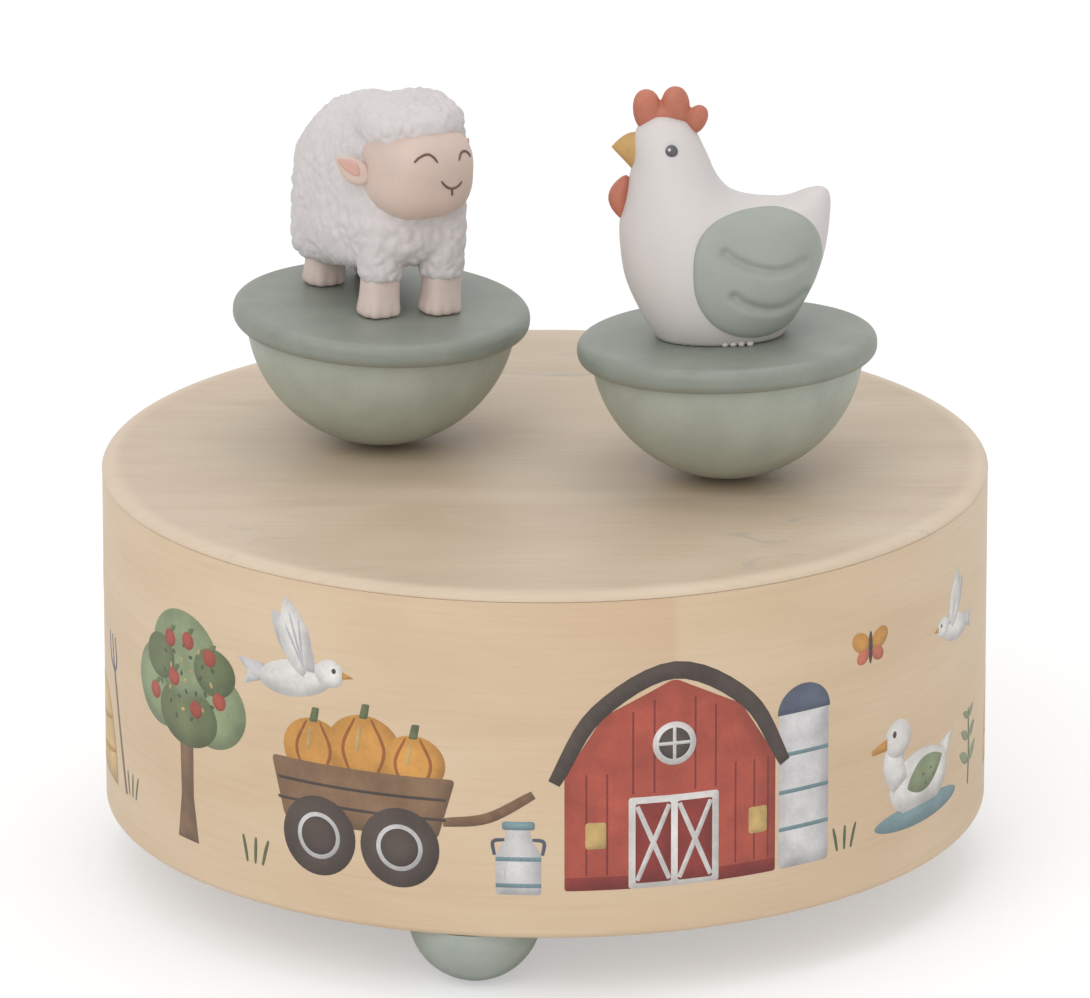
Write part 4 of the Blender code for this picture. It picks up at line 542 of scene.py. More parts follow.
def make_drum():
    """Wall, lid and feet; the base, screws and key keep their CAD solids."""
    radius = DRUM_RADIUS - INK_FLOOR
    inner = radius - 8 * MM
    skirt = radius - 3 * MM
    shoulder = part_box("base_plate")[1].z + GAP
    soft = 0.12 * MM
    low_edge = arc((radius - 1 * MM, DRUM_LOW + 1 * MM), (1 * MM, 1 * MM), -pi / 2, 0, 8)
    high_edge = arc((radius - soft, LID_SEAT - soft), (soft, soft), 0, pi / 2, 5)
    wall = turned([(skirt, DRUM_LOW), *low_edge, *high_edge, (inner, LID_SEAT), (inner, shoulder),
                   (skirt, shoulder)],
                  256, closed=True)
    add_round_uv(place_piece("drum_wall_veneer", wall, "side_wood", "case", ["drum_wall"]))

    seat = LID_SEAT + 0.04 * MM
    lip = DRUM_TOP - seat
    rim = radius + 0.04 * MM
    edge = [*arc((rim - 0.1 * MM, seat + 0.1 * MM), (0.1 * MM, 0.1 * MM), -pi / 2, 0, 4),
            *arc((rim - 2.2 * MM, DRUM_TOP - lip + 0.1 * MM), (2.2 * MM, lip - 0.1 * MM), 0, pi / 2, 18)[1:]]
    plug = inner - GAP
    lid = turned([(0, LID_UNDER), (plug, LID_UNDER), (plug, seat), *edge, (0, DRUM_TOP)], 256)
    place_piece("lid_veneer", lid, "top_wood", "case", ["top_plate"])

    for number in (1, 2, 3):
        low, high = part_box(f"foot_{number}")
        centre = ((low.x + high.x) / 2, (low.y + high.y) / 2)
        size = (high.x - low.x) / 2
        dome = arc((0, DRUM_LOW), (size, size), -pi / 2 + 0.02, 0, 28)
        foot = turned([(0, DRUM_LOW - size), *dome, (size, DRUM_LOW), (0, DRUM_LOW)], 96, centre=centre)
        foot_piece = place_piece(f"ball_foot_{number}", foot, "foot_paint", "case", [f"foot_{number}"])
        foot_piece.data.set_sharp_from_angle(angle=radians(60))


# Printed picture

INKS = {
    "brick": srgb(176, 82, 66), "deep_red": srgb(146, 58, 52), "charcoal": srgb(88, 76, 70),
    "white": srgb(232, 228, 224), "grey_white": srgb(214, 212, 212), "ochre": srgb(208, 150, 76),
    "teal": srgb(132, 160, 166), "slate": srgb(98, 106, 124), "sage": srgb(142, 156, 118),
    "olive": srgb(110, 122, 84), "coral": srgb(204, 116, 92), "bark": srgb(138, 108, 82),
    "straw": srgb(214, 180, 116), "moss": srgb(88, 100, 66), "rust": srgb(176, 108, 58),
}
printed = []


def stamp(colour, points, layer, s0=0.0, z0=0.0, scale=1.0, flip=False):
    """Queue one flat shape: points in millimetres round and up from the place (s0, z0)."""
    way = -1 if flip else 1
    placed = [(s0 + way * x * scale, z0 + y * scale) for x, y in points]
    turn = sum(a[0] * b[1] - b[0] * a[1] for a, b in zip(placed, placed[1:] + placed[:1]))
    printed.append((layer, len(printed), colour, placed if turn > 0 else placed[::-1]))


def oval(x, y, a, b, turn=0.0, start=0.0, end=360.0, steps=40):
    """Points of an ellipse or of a part of one, in millimetres and degrees."""
    c, s = cos(radians(turn)), sin(radians(turn))
    points = []
    full = end - start >= 360
    for i in range(steps if full else steps + 1):
        t = radians(start + (end - start) * i / steps)
        px, py = a * cos(t), b * sin(t)
        points.append((x + px * c - py * s, y + px * s + py * c))
    return points


def stroke(points, width, ends=0.35):
    """Outline of a tapering line through points."""
    path = smooth_path([(x, y, 0) for x, y in points], 6)
    left, right = [], []
    for i, point in enumerate(path):
        ahead = (path[min(i + 1, len(path) - 1)] - path[max(i - 1, 0)]).normalized()
        share = i / (len(path) - 1)
        half = width / 2 * (ends + (1 - ends) * sin(pi * share) ** 0.5)
        left.append((point.x - ahead.y * half, point.y + ahead.x * half))
        right.append((point.x + ahead.y * half, point.y - ahead.x * half))
    return left + right[::-1]


def rounded(points, radius=0.5, steps=4):
    """Polygon with softened corners."""
    out = []
    count = len(points)
    for i in range(count):
        a, b, c = (Vector(points[(i + k) % count]) for k in (-1, 0, 1))
        cut = min(radius, (a - b).length / 2.2, (c - b).length / 2.2)
        p, q = b + (a - b).normalized() * cut, b + (c - b).normalized() * cut
        for step in range(steps + 1):
            t = step / steps
            spot = p * (1 - t) ** 2 + b * 2 * t * (1 - t) + q * t * t
            out.append((spot.x, spot.y))
    return out


def leaf(x, y, length, width, turn):
    """Pointed leaf from its stalk end."""
    c, s = cos(radians(turn)), sin(radians(turn))
    points = []
    for i in range(21):
        t = i / 20
        points.append((length * t, width / 2 * sin(pi * t) ** 0.8 * (1 - 0.25 * t)))
    points += [(px, -py) for px, py in points[-2:0:-1]]
    return [(x + px * c - py * s, y + px * s + py * c) for px, py in points]


def barn(s0, z0, scale=1.0):
    """Barn with a gambrel roof, double door, window and a small silo."""
    stamp("grey_white", rounded([(15, 0), (22, 0), (22, 19), (15, 19)], 0.6), 0, s0, z0, scale)
    stamp("slate", oval(18.5, 18.6, 3.7, 3.4, 0, 0, 180), 1, s0, z0, scale)
    for y in (4.5, 9.0, 13.5):
        stamp("teal", rounded([(15, y), (22, y), (22, y + 0.5), (15, y + 0.5)], 0.1), 1, s0, z0, scale)
    stamp("brick", rounded([(-11, 0), (14.5, 0), (14.5, 14), (10, 21), (1.8, 25), (-6.5, 21),
                            (-11, 14)], 0.8), 2, s0, z0, scale)
    for x in (-8.6, -6.2, 9.2, 11.6, 13.4):
        stamp("deep_red", rounded([(x, 1.8), (x + 0.22, 1.8), (x + 0.22, 14), (x, 14)], 0.05), 3, s0,
              z0, scale)
    for x, top in ((-3.2, 21.4), (-0.7, 22.6), (4.2, 22.6), (6.7, 21.4)):
        stamp("deep_red", rounded([(x, 11.4), (x + 0.22, 11.4), (x + 0.22, top), (x, top)], 0.05), 3,
              s0, z0, scale)
    stamp("charcoal", stroke([(-12.2, 13), (-7.2, 21.4), (1.8, 26), (10.8, 21.4), (15.8, 13)], 2.1,
                             0.7), 4, s0, z0, scale)
    stamp("deep_red", rounded([(-11, 0), (14.5, 0), (14.5, 1.6), (-11, 1.6)], 0.4), 3, s0, z0, scale)
    stamp("white", rounded([(-3.6, 0), (7.2, 0), (7.2, 11), (-3.6, 11)], 0.4), 3, s0, z0, scale)
    for x in (-2.8, 2.2):
        stamp("deep_red", rounded([(x, 0.6), (x + 4.2, 0.6), (x + 4.2, 10.2), (x, 10.2)], 0.3), 4, s0,
              z0, scale)
        stamp("white", stroke([(x + 0.2, 0.9), (x + 4.0, 9.9)], 0.6, 0.9), 5, s0, z0, scale)
        stamp("white", stroke([(x + 4.0, 0.9), (x + 0.2, 9.9)], 0.6, 0.9), 5, s0, z0, scale)
    stamp("white", oval(1.8, 17.2, 2.6, 2.6), 3, s0, z0, scale)
    stamp("charcoal", oval(1.8, 17.2, 1.9, 1.9), 4, s0, z0, scale)
    stamp("white", rounded([(1.6, 15.2), (2.0, 15.2), (2.0, 19.2), (1.6, 19.2)], 0.1), 5, s0, z0, scale)
    stamp("white", rounded([(-0.2, 17.0), (3.8, 17.0), (3.8, 17.4), (-0.2, 17.4)], 0.1), 5, s0, z0, scale)
    for x in (-8.6, 11.0):
        stamp("straw", rounded([(x, 5), (x + 2.4, 5), (x + 2.4, 8.2), (x, 8.2)], 0.4), 3, s0, z0, scale)


def apple_tree(s0, z0, flip=False):
    """Round tree with fruit."""
    stamp("bark", [(-1.9, 0), (-1.1, 6), (-1.3, 13), (-4.4, 18), (-3.2, 18.6), (-0.2, 14.6), (1.6, 19.2),
                   (2.7, 18.7), (1.5, 13), (1.5, 6), (2.5, 0)], 0, s0, z0, 1, flip)
    crowns = [("sage", -5.4, 19.5, 6.2, 5.6), ("sage", 5.2, 19.0, 6.4, 5.4), ("olive", 0.2, 16.8, 6.2, 4.2),
              ("sage", -0.4, 24.6, 7.2, 6.0), ("olive", 5.8, 23.8, 4.0, 3.2),
              ("olive", -5.8, 23.2, 3.4, 3.0)]
    for layer, (colour, x, y, a, b) in enumerate(crowns):
        stamp(colour, oval(x, y, a, b), min(3, 1 + layer // 2), s0, z0, 1, flip)
    for i in range(30):
        angle, far = i * 2.4, 6.4 * sqrt(i / 30)
        stamp("straw" if i % 3 == 0 else "moss",
              oval(far * cos(angle), 21.4 + far * sin(angle) * 0.9, 0.42, 0.26, 30 + i * 47, steps=10), 4,
              s0, z0, 1, flip)
    for x, y in ((-7.2, 18.2), (-2.6, 21.2), (2.2, 18.0), (6.8, 20.2), (0.6, 26.8), (-3.4, 26.2),
                 (5.0, 25.6)):
        stamp("brick", oval(x, y, 1.25, 1.2), 4, s0, z0, 1, flip)
        stamp("olive", leaf(x, y + 1.0, 1.6, 0.9, 35), 5, s0, z0, 1, flip)


def cart(s0, z0, scale=1.0):
    """Two-wheeled wooden cart heaped with pumpkins."""
    for x, y, r in ((-5.4, 14.6, 3.5), (0.8, 15.4, 4.0), (6.6, 14.4, 3.3)):
        stamp("ochre", oval(x, y, r * 1.12, r), 0, s0, z0, scale)
        for way in (-1, 1):
            stamp("rust", stroke([(x + way * r * 0.25, y + r * 0.9), (x + way * r * 0.62, y),
                                  (x + way * r * 0.3, y - r * 0.9)],
                                 0.4, 0.5), 1, s0, z0, scale)
        stamp("straw", stroke([(x - r * 0.1, y + r * 0.7), (x - r * 0.2, y - r * 0.1)], 0.5, 0.3), 1,
              s0, z0, scale)
        stamp("olive", rounded([(x - 0.5, y + r - 0.4), (x + 0.5, y + r - 0.4), (x + 0.8, y + r + 1.3),
                                (x - 0.1, y + r + 1.3)], 0.2), 1, s0, z0, scale)
    stamp("bark", rounded([(-11, 13), (11.4, 13), (9.4, 6), (-9.2, 6)], 0.7), 2, s0, z0, scale)
    for y in (8.1, 10.4):
        stamp("charcoal", rounded([(-10, y), (10.4, y), (10.3, y + 0.35), (-10.2, y + 0.35)], 0.1), 3,
              s0, z0, scale)
    stamp("bark", stroke([(10, 8), (15, 8.8), (20, 11.6)], 1.2, 0.8), 2, s0, z0, scale)
    for x in (-4.8, 5.0):
        stamp("charcoal", oval(x, 4.6, 4.6, 4.6), 4, s0, z0, scale)
        stamp("grey_white", oval(x, 4.6, 2.7, 2.7), 5, s0, z0, scale)
        stamp("charcoal", oval(x, 4.6, 2.2, 2.2), 6, s0, z0, scale)


def duck(s0, z0, scale=1.0, flip=False):
    """Swimming duck with a grey-green wing on a patch of pond."""
    stamp("teal", oval(0, -0.4, 10.5, 1.7), 0, s0, z0, scale, flip)
    stamp("white", [(x, y) for x, y in oval(0, 4.0, 7.4, 4.4) if y > 0.2], 1, s0, z0, scale, flip)
    stamp("white", [(-7.2, 5.2), (-9.6, 8.6), (-5.0, 7.6)], 1, s0, z0, scale, flip)
    stamp("white", stroke([(5.0, 4.6), (6.6, 8.0), (5.4, 11.0)], 4.4, 0.8), 1, s0, z0, scale, flip)
    stamp("white", oval(5.6, 11.4, 2.9, 2.7), 2, s0, z0, scale, flip)
    stamp("ochre", [(8.0, 12.0), (11.2, 10.9), (11.0, 10.2), (8.0, 10.3)], 3, s0, z0, scale, flip)
    stamp("charcoal", oval(6.4, 12.1, 0.42, 0.5), 3, s0, z0, scale, flip)
    stamp("sage", leaf(3.4, 3.6, 9.6, 5.4, 166), 3, s0, z0, scale, flip)
    for x, y in ((-0.6, 4.6), (-2.6, 5.0), (-1.2, 3.2), (-3.4, 3.8)):
        stamp("olive", oval(x, y, 0.35, 0.2), 4, s0, z0, scale, flip)


def haystack(s0, z0):
    """Domed stack of straw with a fork leaning on it."""
    stamp("straw", oval(0, 0, 9.5, 12.5, 0, 0, 180), 0, s0, z0)
    stamp("ochre", stroke([(-8.6, 4.4), (0, 3.0), (8.6, 4.4)], 0.9, 0.5), 1, s0, z0)
    stamp("ochre", stroke([(-6.8, 8.4), (0, 7.2), (6.8, 8.4)], 0.8, 0.5), 1, s0, z0)
    for i in range(9):
        x = -7.2 + i * 1.8
        stamp("ochre", stroke([(x, 0.8), (x * 0.9, 3.2)], 0.35, 0.6), 1, s0, z0)
    stamp("bark", stroke([(13.6, 0.2), (8.4, 15.4)], 0.8, 0.9), 2, s0, z0)
    for shift in (-1.6, 0.0, 1.6):
        stamp("slate", stroke([(8.4, 15.2), (7.9 + shift, 16.8), (7.2 + shift, 20.0)], 0.5, 0.8), 3, s0, z0)


def watering_can(s0, z0):
    """Slate can with its rose and handle."""
    stamp("slate", stroke([(-5.0, 8.4), (-9.0, 8.4), (-9.4, 3.6), (-5.0, 2.2)], 1.2, 0.9), 0, s0, z0)
    stamp("slate", rounded([(4.4, 2.2), (5.2, 5.0), (12.6, 11.4), (13.6, 10.4)], 0.3), 0, s0, z0)
    stamp("teal", rounded([(-5.6, 0), (5.6, 0), (4.6, 9.6), (-4.6, 9.6)], 0.8), 1, s0, z0)
    stamp("slate", oval(13.2, 11.4, 1.1, 2.3, -40), 1, s0, z0)
    stamp("grey_white", rounded([(-5.2, 3.4), (5.2, 3.4), (5.1, 4.4), (-5.1, 4.4)], 0.2), 2, s0, z0)


def carrot_row(s0, z0, count=4):
    """Carrots with their tops, in a row."""
    for i in range(count):
        x = s0 + i * 5.4
        stamp("ochre", rounded([(-1.7, 6.6), (1.7, 6.6), (0.3, 0), (-0.3, 0)], 0.8), 1, x, z0)
        for y in (4.9, 3.2):
            stamp("coral", stroke([(-1.1, y), (0.5, y - 0.2)], 0.35, 0.6), 2, x, z0)
        for turn in (62, 90, 118):
            stamp("olive" if turn == 90 else "sage", leaf(0, 6.2, 5.2, 1.5, turn), 0, x, z0)


def dove(s0, z0, scale=1.0, flip=False):
    """Pale dove on the wing."""
    stamp("grey_white", [(-11.5, 1.6), (-6.2, 1.4), (-5.8, -1.0), (-10.4, -2.6), (-9.4, -0.6)], 0, s0,
          z0, scale, flip)
    stamp("white", oval(-0.6, 0.2, 6.6, 2.9, 8), 1, s0, z0, scale, flip)
    stamp("white", oval(5.6, 1.9, 2.5, 2.2), 1, s0, z0, scale, flip)
    stamp("grey_white", leaf(3.0, 1.6, 11.5, 5.6, 132), 2, s0, z0, scale, flip)
    stamp("white", leaf(1.0, 0.6, 12.5, 6.2, 104), 3, s0, z0, scale, flip)
    for turn, length in ((96, 7.6), (106, 8.8), (116, 7.2)):
        stamp("grey_white", stroke([(1.0, 2.2),
                                    (1.0 + length * cos(radians(turn)), 1.8 + length * sin(radians(turn)))],
                                   0.4, 0.6), 4, s0, z0, scale, flip)
    stamp("ochre", [(7.7, 2.5), (9.6, 1.7), (7.7, 1.3)], 3, s0, z0, scale, flip)
    stamp("charcoal", oval(6.3, 2.4, 0.38, 0.42), 3, s0, z0, scale, flip)


def churn(s0, z0, scale=1.0):
    """Milk churn with two handles."""
    for side in (-1, 1):
        stamp("slate", stroke([(side * 2.2, 9.2), (side * 4.0, 8.8), (side * 3.8, 6.6)], 0.6, 0.8), 0,
              s0, z0, scale)
    stamp("grey_white", rounded([(-3.6, 0), (3.6, 0), (3.6, 6.8), (1.9, 9.4), (1.9, 11.0), (-1.9, 11.0),
                                 (-1.9, 9.4),
                                 (-3.6, 6.8)], 0.7), 1, s0, z0, scale)
    stamp("teal", rounded([(-2.6, 10.8), (2.6, 10.8), (2.6, 12.2), (-2.6, 12.2)], 0.5), 2, s0, z0, scale)
    for y in (1.2, 5.6):
        stamp("teal", rounded([(-3.6, y), (3.6, y), (3.6, y + 0.7), (-3.6, y + 0.7)], 0.1), 2, s0, z0, scale)
    stamp("white", stroke([(-2.3, 2.4), (-2.4, 5.0)], 0.6, 0.5), 2, s0, z0, scale)


def tuft(s0, z0, scale=1.0):
    """Three blades of grass."""
    for x, lean in ((-1.2, -0.7), (0, 0.1), (1.1, 0.9)):
        stamp("olive", stroke([(x, 0), (x + lean * 0.5, 1.8), (x + lean, 3.2)], 0.45, 0.5), 0, s0, z0, scale)


def sprig(s0, z0, scale=1.0, flip=False):
    """Upright stalk with paired leaves."""
    stamp("olive", stroke([(0, 0), (0.3, 4), (0, 8.6)], 0.5, 0.7), 0, s0, z0, scale, flip)
    for y, size in ((2.6, 3.4), (5.2, 2.9), (7.6, 2.2)):
        for turn in (28, 152):
            stamp("sage", leaf(0.1, y, size, size * 0.42, turn), 1, s0, z0, scale, flip)


def butterfly(s0, z0, scale=1.0):
    """Small butterfly."""
    for side in (-1, 1):
        stamp("ochre", oval(side * 1.5, 0.8, 1.5, 1.1, side * 35), 0, s0, z0, scale)
        stamp("coral", oval(side * 1.2, -0.9, 1.0, 0.8, -side * 30), 0, s0, z0, scale)
    stamp("charcoal", oval(0, 0, 0.32, 1.9), 1, s0, z0, scale)


def fence(s0, z0, posts=4):
    """Low rail fence."""
    for y in (2.4, 5.2):
        stamp("bark", rounded([(-1, y), (posts * 4.6 - 2.6, y), (posts * 4.6 - 2.6, y + 0.8),
                               (-1, y + 0.8)], 0.3), 0, s0, z0)
    for i in range(posts):
        x = i * 4.6
        stamp("bark", rounded([(x - 0.7, 0), (x + 0.7, 0), (x + 0.7, 7.2), (x, 8.2), (x - 0.7, 7.2)],
                              0.3), 1, s0, z0)


def divided(outline):
    """Outline with no side longer than the grid, so that it bends round the drum."""
    found = []
    for a, b in zip(outline, outline[1:] + outline[:1]):
        steps = max(1, round((b - a).length / INK_GRID + 0.5))
        found += [a.lerp(b, k / steps) for k in range(steps)]
    return found


def ink_tone(spot, outline, width):
    """Brightness of a shape at a point: its edge is darker, and lighter where it faces the light."""
    nearest = 99.0
    for a, b in zip(outline, outline[1:] + outline[:1]):
        side = b - a
        if side.length < 1e-6:
            continue
        share = min(1.0, max(0.0, (spot - a).dot(side) / side.length_squared))
        gap = (a + side * share - spot).length
        if gap < nearest:
            nearest = gap
            facing = (side.y * INK_LIGHT[0] - side.x * INK_LIGHT[1]) / side.length
    edge = exp(-(nearest / width) ** 2)
    return 1 - edge * (INK_EDGE_DARK - INK_EDGE_LIT * facing)


def lay_film(colour, spots, cells, tones):
    """Bend the flat cells of one colour round the drum as a thin closed film."""
    film = bmesh.new()
    layer = film.loops.layers.float_color.new("tone")
    made = {}
    for cell, shades in zip(cells, tones):
        for i in cell:
            if i not in made:
                made[i] = film.verts.new((spots[i].x, 0, spots[i].y))
        face = film.faces.new([made[i] for i in cell])
        for loop, shade in zip(face.loops, shades):
            loop[layer] = (shade, shade, shade, 1)
    outer = set(film.verts)
    grown = bmesh.ops.extrude_face_region(film, geom=film.faces[:], use_keep_orig=True)
    inner = {item for item in grown["geom"] if isinstance(item, bmesh.types.BMVert)}
    for vert in film.verts:
        angle = vert.co.x * MM / DRUM_RADIUS
        reach = DRUM_RADIUS - INK_FLOOR + INK_LIFT - INK_THICKNESS * (vert in inner)
        vert.co = Vector((reach * sin(angle), -reach * cos(angle), DRUM_LOW + vert.co.z * MM))
    for face in film.faces:
        if any(vert in outer for vert in face.verts) and any(vert in inner for vert in face.verts):
            for loop in face.loops:
                loop[layer] = (0.75, 0.75, 0.75, 1)
    bmesh.ops.recalc_face_normals(film, faces=film.faces[:])
    MATERIALS[f"ink_{colour}"] = ink(f"ink_{colour}", INKS[colour])
    place_piece(f"print_{colour}", film, f"ink_{colour}", "case", smooth=False)


def print_picture():
    """Keep the topmost ink wherever the queued shapes overlap, and lay the inks by colour."""
    queue = sorted(printed, key=lambda item: item[:2])
    shapes = [divided([Vector(p) for p in item[3]]) for item in queue]
    points, outlines, grid = [], [], set()
    for shape in shapes:
        outlines.append(list(range(len(points), len(points) + len(shape))))
        points += shape
        low = [int(min(p[k] for p in shape) / INK_GRID) for k in (0, 1)]
        high = [int(max(p[k] for p in shape) / INK_GRID) for k in (0, 1)]
        grid.update((i, j) for i in range(low[0], high[0] + 1) for j in range(low[1], high[1] + 1))
    points += [Vector((i * INK_GRID, j * INK_GRID)) for i, j in sorted(grid)]
    spots, _, cells, _, _, owners = delaunay_2d_cdt(points, [], outlines, 1, 1e-4, True)
    films = {}
    for cell, owner in zip(cells, owners):
        if not owner:
            continue
        top = max(owner)
        shape = shapes[top]
        area = abs(sum(a.x * b.y - b.x * a.y for a, b in zip(shape, shape[1:] + shape[:1]))) / 2
        width = min(INK_EDGE_WIDEST, INK_EDGE_SHARE * sqrt(area))
        found = films.setdefault(queue[top][2], ([], []))
        found[0].append(cell)
        found[1].append([ink_tone(spots[i], shape, width) for i in cell])
    for colour, (shown, tones) in sorted(films.items()):
        lay_film(colour, spots, shown, tones)


def make_picture():
    """Farm scene round the drum, front first and then on round to the back."""
    apple_tree(-53, 5.5)
    cart(-24.5, 6.0, 1.15)
    dove(-33, 31.5, 0.85)
    barn(14.5, 6.5, 1.1)
    tuft(-40, 5.5, 1.1)
    churn(-3.4, 6.0, 0.8)
    tuft(41.5, 7.0, 1.0)
    duck(57, 8.5, 0.95, flip=True)
    butterfly(46, 33, 1.15)
    sprig(72, 7, 1.2)
    dove(66, 30, 0.62, flip=True)
    haystack(92, 6)
    tuft(110, 6)
    watering_can(124, 7)
    carrot_row(142, 7)
    dove(134, 31, 0.9)
    fence(168, 6, 6)
    apple_tree(-150, 5.5, flip=True)
    duck(-122, 8, 1.0)
    butterfly(-134, 33)
    sprig(-104, 6, 1.2, flip=True)
    haystack(-84, 6)
    dove(-96, 31, 0.8, flip=True)
    tuft(-68, 6.5)
    print_picture()


# Rockers

def make_rocker(animal):
    """Bowl and cap under an animal."""
    place = spot_matrix(animal)
    ball = ROCKER_RADIUS + 0.22 * MM
    rim_angle = -atan2(-BOWL_TOP, sqrt(ROCKER_RADIUS ** 2 - BOWL_TOP ** 2))
    bowl = turned([(0, -ball), *arc((0, 0), (ball, ball), -pi / 2 + 0.02, rim_angle, 40),
                   (0, BOWL_TOP)], 160)
    place_piece(f"{animal}_bowl", bowl, "rocker_paint", animal, [f"{animal}_rocker"], matrix=place,
                crease=50)
    side = CAP_RADIUS - CAP_EDGE
    low = BOWL_TOP + 0.05 * MM
    edge = [*arc((side, low + CAP_EDGE), (CAP_EDGE, CAP_EDGE), -pi / 2, 0, 10),
            *arc((side, CAP_TOP - CAP_EDGE), (CAP_EDGE, CAP_EDGE), 0, pi / 2, 10)]
    cap = turned([(0, low), *edge, (0, CAP_TOP)], 160)
    place_piece(f"{animal}_lid_disc", cap, "cap_paint", animal, [f"{animal}_cap"], matrix=place, crease=60)
    return place


# Sheep: millimetres along its heading, to its left, and up from its cap

SHEEP_SIDE = 1.5
FLEECE_MIDDLE = -4.1
FLEECE_HALF_LENGTH = 13.2
FLEECE_HALF_WIDTH = 8.3
FLEECE_TOP = 26.5
FLEECE_CROWN = 2.8
FLEECE_BELLY = 2.1
FLEECE_BELLY_RISE = 5.3
PLAN_ROUNDNESS, RUMP_ROUNDNESS, HEAD_ROUNDNESS = 3.1, 2.1, 5.0
BACK_ROUNDNESS, CROWN_ROUNDNESS, BELLY_ROUNDNESS = 2.2, 3.0, 6.0
HEAD_SIDE = 0.4
FACE_CENTRE = (6.4, HEAD_SIDE, 19.7)
FACE_RADII = (6.6, 6.8, 6.1)
FACE_POWER = 2.8
LEGS = ((4.8, -3.4), (6.9, 4.6), (-10.1, -2.7), (-10.5, 5.4))
CUFFED_LEGS = 2
CUFF_LOW = 5.1
HOOD_CENTRE = (3.9, 0.5, 25.4)
HOOD_RADII = (6.1, 6.9, 3.3)
HOOD_POWER = 2.3
EAR_ROOT, EAR_TIP = (4.9, -6.8, 19.1), (2.5, -9.5, 21.4)
FAR_EAR_ROOT, FAR_EAR_TIP = (3.4, 9.0, 19.1), (0.4, 11.4, 21.2)
EAR_HALF_WIDTH = 1.65
EAR_HALF_THICKNESS = 0.95


def stand(x, y, z):
    """Point in an animal's frame from millimetres along, across and up from its cap."""
    return Vector((x * MM, y * MM, CAP_TOP + z * MM))


def swell(share, roundness):
    """Breadth left of a rounded form at a share of its half length."""
    return max(0.0, 1 - abs(share) ** roundness) ** (1 / roundness)


def fleece_form(stations=56, around=80):
    """Smooth body under the wool: rounded rump, sloping belly and a raised crown."""
    middle = (FLEECE_TOP + FLEECE_BELLY) / 2
    rings = []
    for k in range(stations + 1):
        along = sin(pi * (k / stations - 0.5))
        x = FLEECE_MIDDLE + along * FLEECE_HALF_LENGTH
        crown = FLEECE_CROWN * min(1.0, max(0.0, 2 * along))
        back = BACK_ROUNDNESS + (CROWN_ROUNDNESS - BACK_ROUNDNESS) * min(1.0, max(0.0, 1.5 * along))
        rise = (FLEECE_TOP + crown - middle) * swell(along, HEAD_ROUNDNESS if along > 0 else RUMP_ROUNDNESS)
        belly = FLEECE_BELLY + FLEECE_BELLY_RISE * max(0.0, 0.5 + along / 2) ** 1.3
        sag = (middle - belly) * swell(along, BELLY_ROUNDNESS)
        half = FLEECE_HALF_WIDTH * swell(along, PLAN_ROUNDNESS)
        ring = []
        for i in range(around if 0 < k < stations else 1):
            c, s = cos(2 * pi * i / around), sin(2 * pi * i / around)
            power = 2 / (back if s > 0 else BELLY_ROUNDNESS)
            y = half * abs(c) ** power * (1 if c > 0 else -1)
            z = abs(s) ** power * (rise if s > 0 else -sag)
            ring.append(stand(x, SHEEP_SIDE + y, middle + z))
        rings.append(ring)
    return skin(rings)


def wool(point):
    """Height of the combed, curly wool at a point, in metres."""
    warp = noise.noise_vector(point / (3.4 * MM)) * 0.6
    scaled = Vector((point.x, point.y, point.z / 1.5)) / MM
    near = noise.voronoi(scaled / 1.45 + warp)[0]
    curl = max(0.0, min(1.0, (near[1] - near[0]) * 1.3)) ** 0.8
    ripple = noise.noise(scaled / 0.8 + warp * 2)
    broad = noise.noise(point / (4.6 * MM))
    return (curl * 0.34 + ripple * 0.14 + broad * 0.24 + 0.06) * MM


def make_fleece(place):
    """Woolly body with its cuffs, and the fringe that hangs over the face."""
    forms = [fleece_form()]
    for x, y in LEGS[:CUFFED_LEGS]:
        profile = [(0, CUFF_LOW), (2.5, CUFF_LOW), (2.8, CUFF_LOW + 0.5), (2.8, CUFF_LOW + 2.0),
                   (2.7, CUFF_LOW + 8), (0, CUFF_LOW + 8)]
        centre = stand(x, y, 0)
        forms.append(turned([(r * MM, centre.z + z * MM) for r, z in profile], 40, centre=centre.xy))
    forms.append(blob([r * MM for r in HOOD_RADII], stand(*HOOD_CENTRE), HOOD_POWER, 80, 48))
    fleece = melt(forms, 0.3 * MM, 9)
    fleece.normal_update()
    moves = [(vert, vert.normal * wool(vert.co)) for vert in fleece.verts]
    for vert, move in moves:
        vert.co += move
    place_piece("sheep_wool", fleece, "fleece", "sheep", ["sheep_fleece"], matrix=place, crease=180)


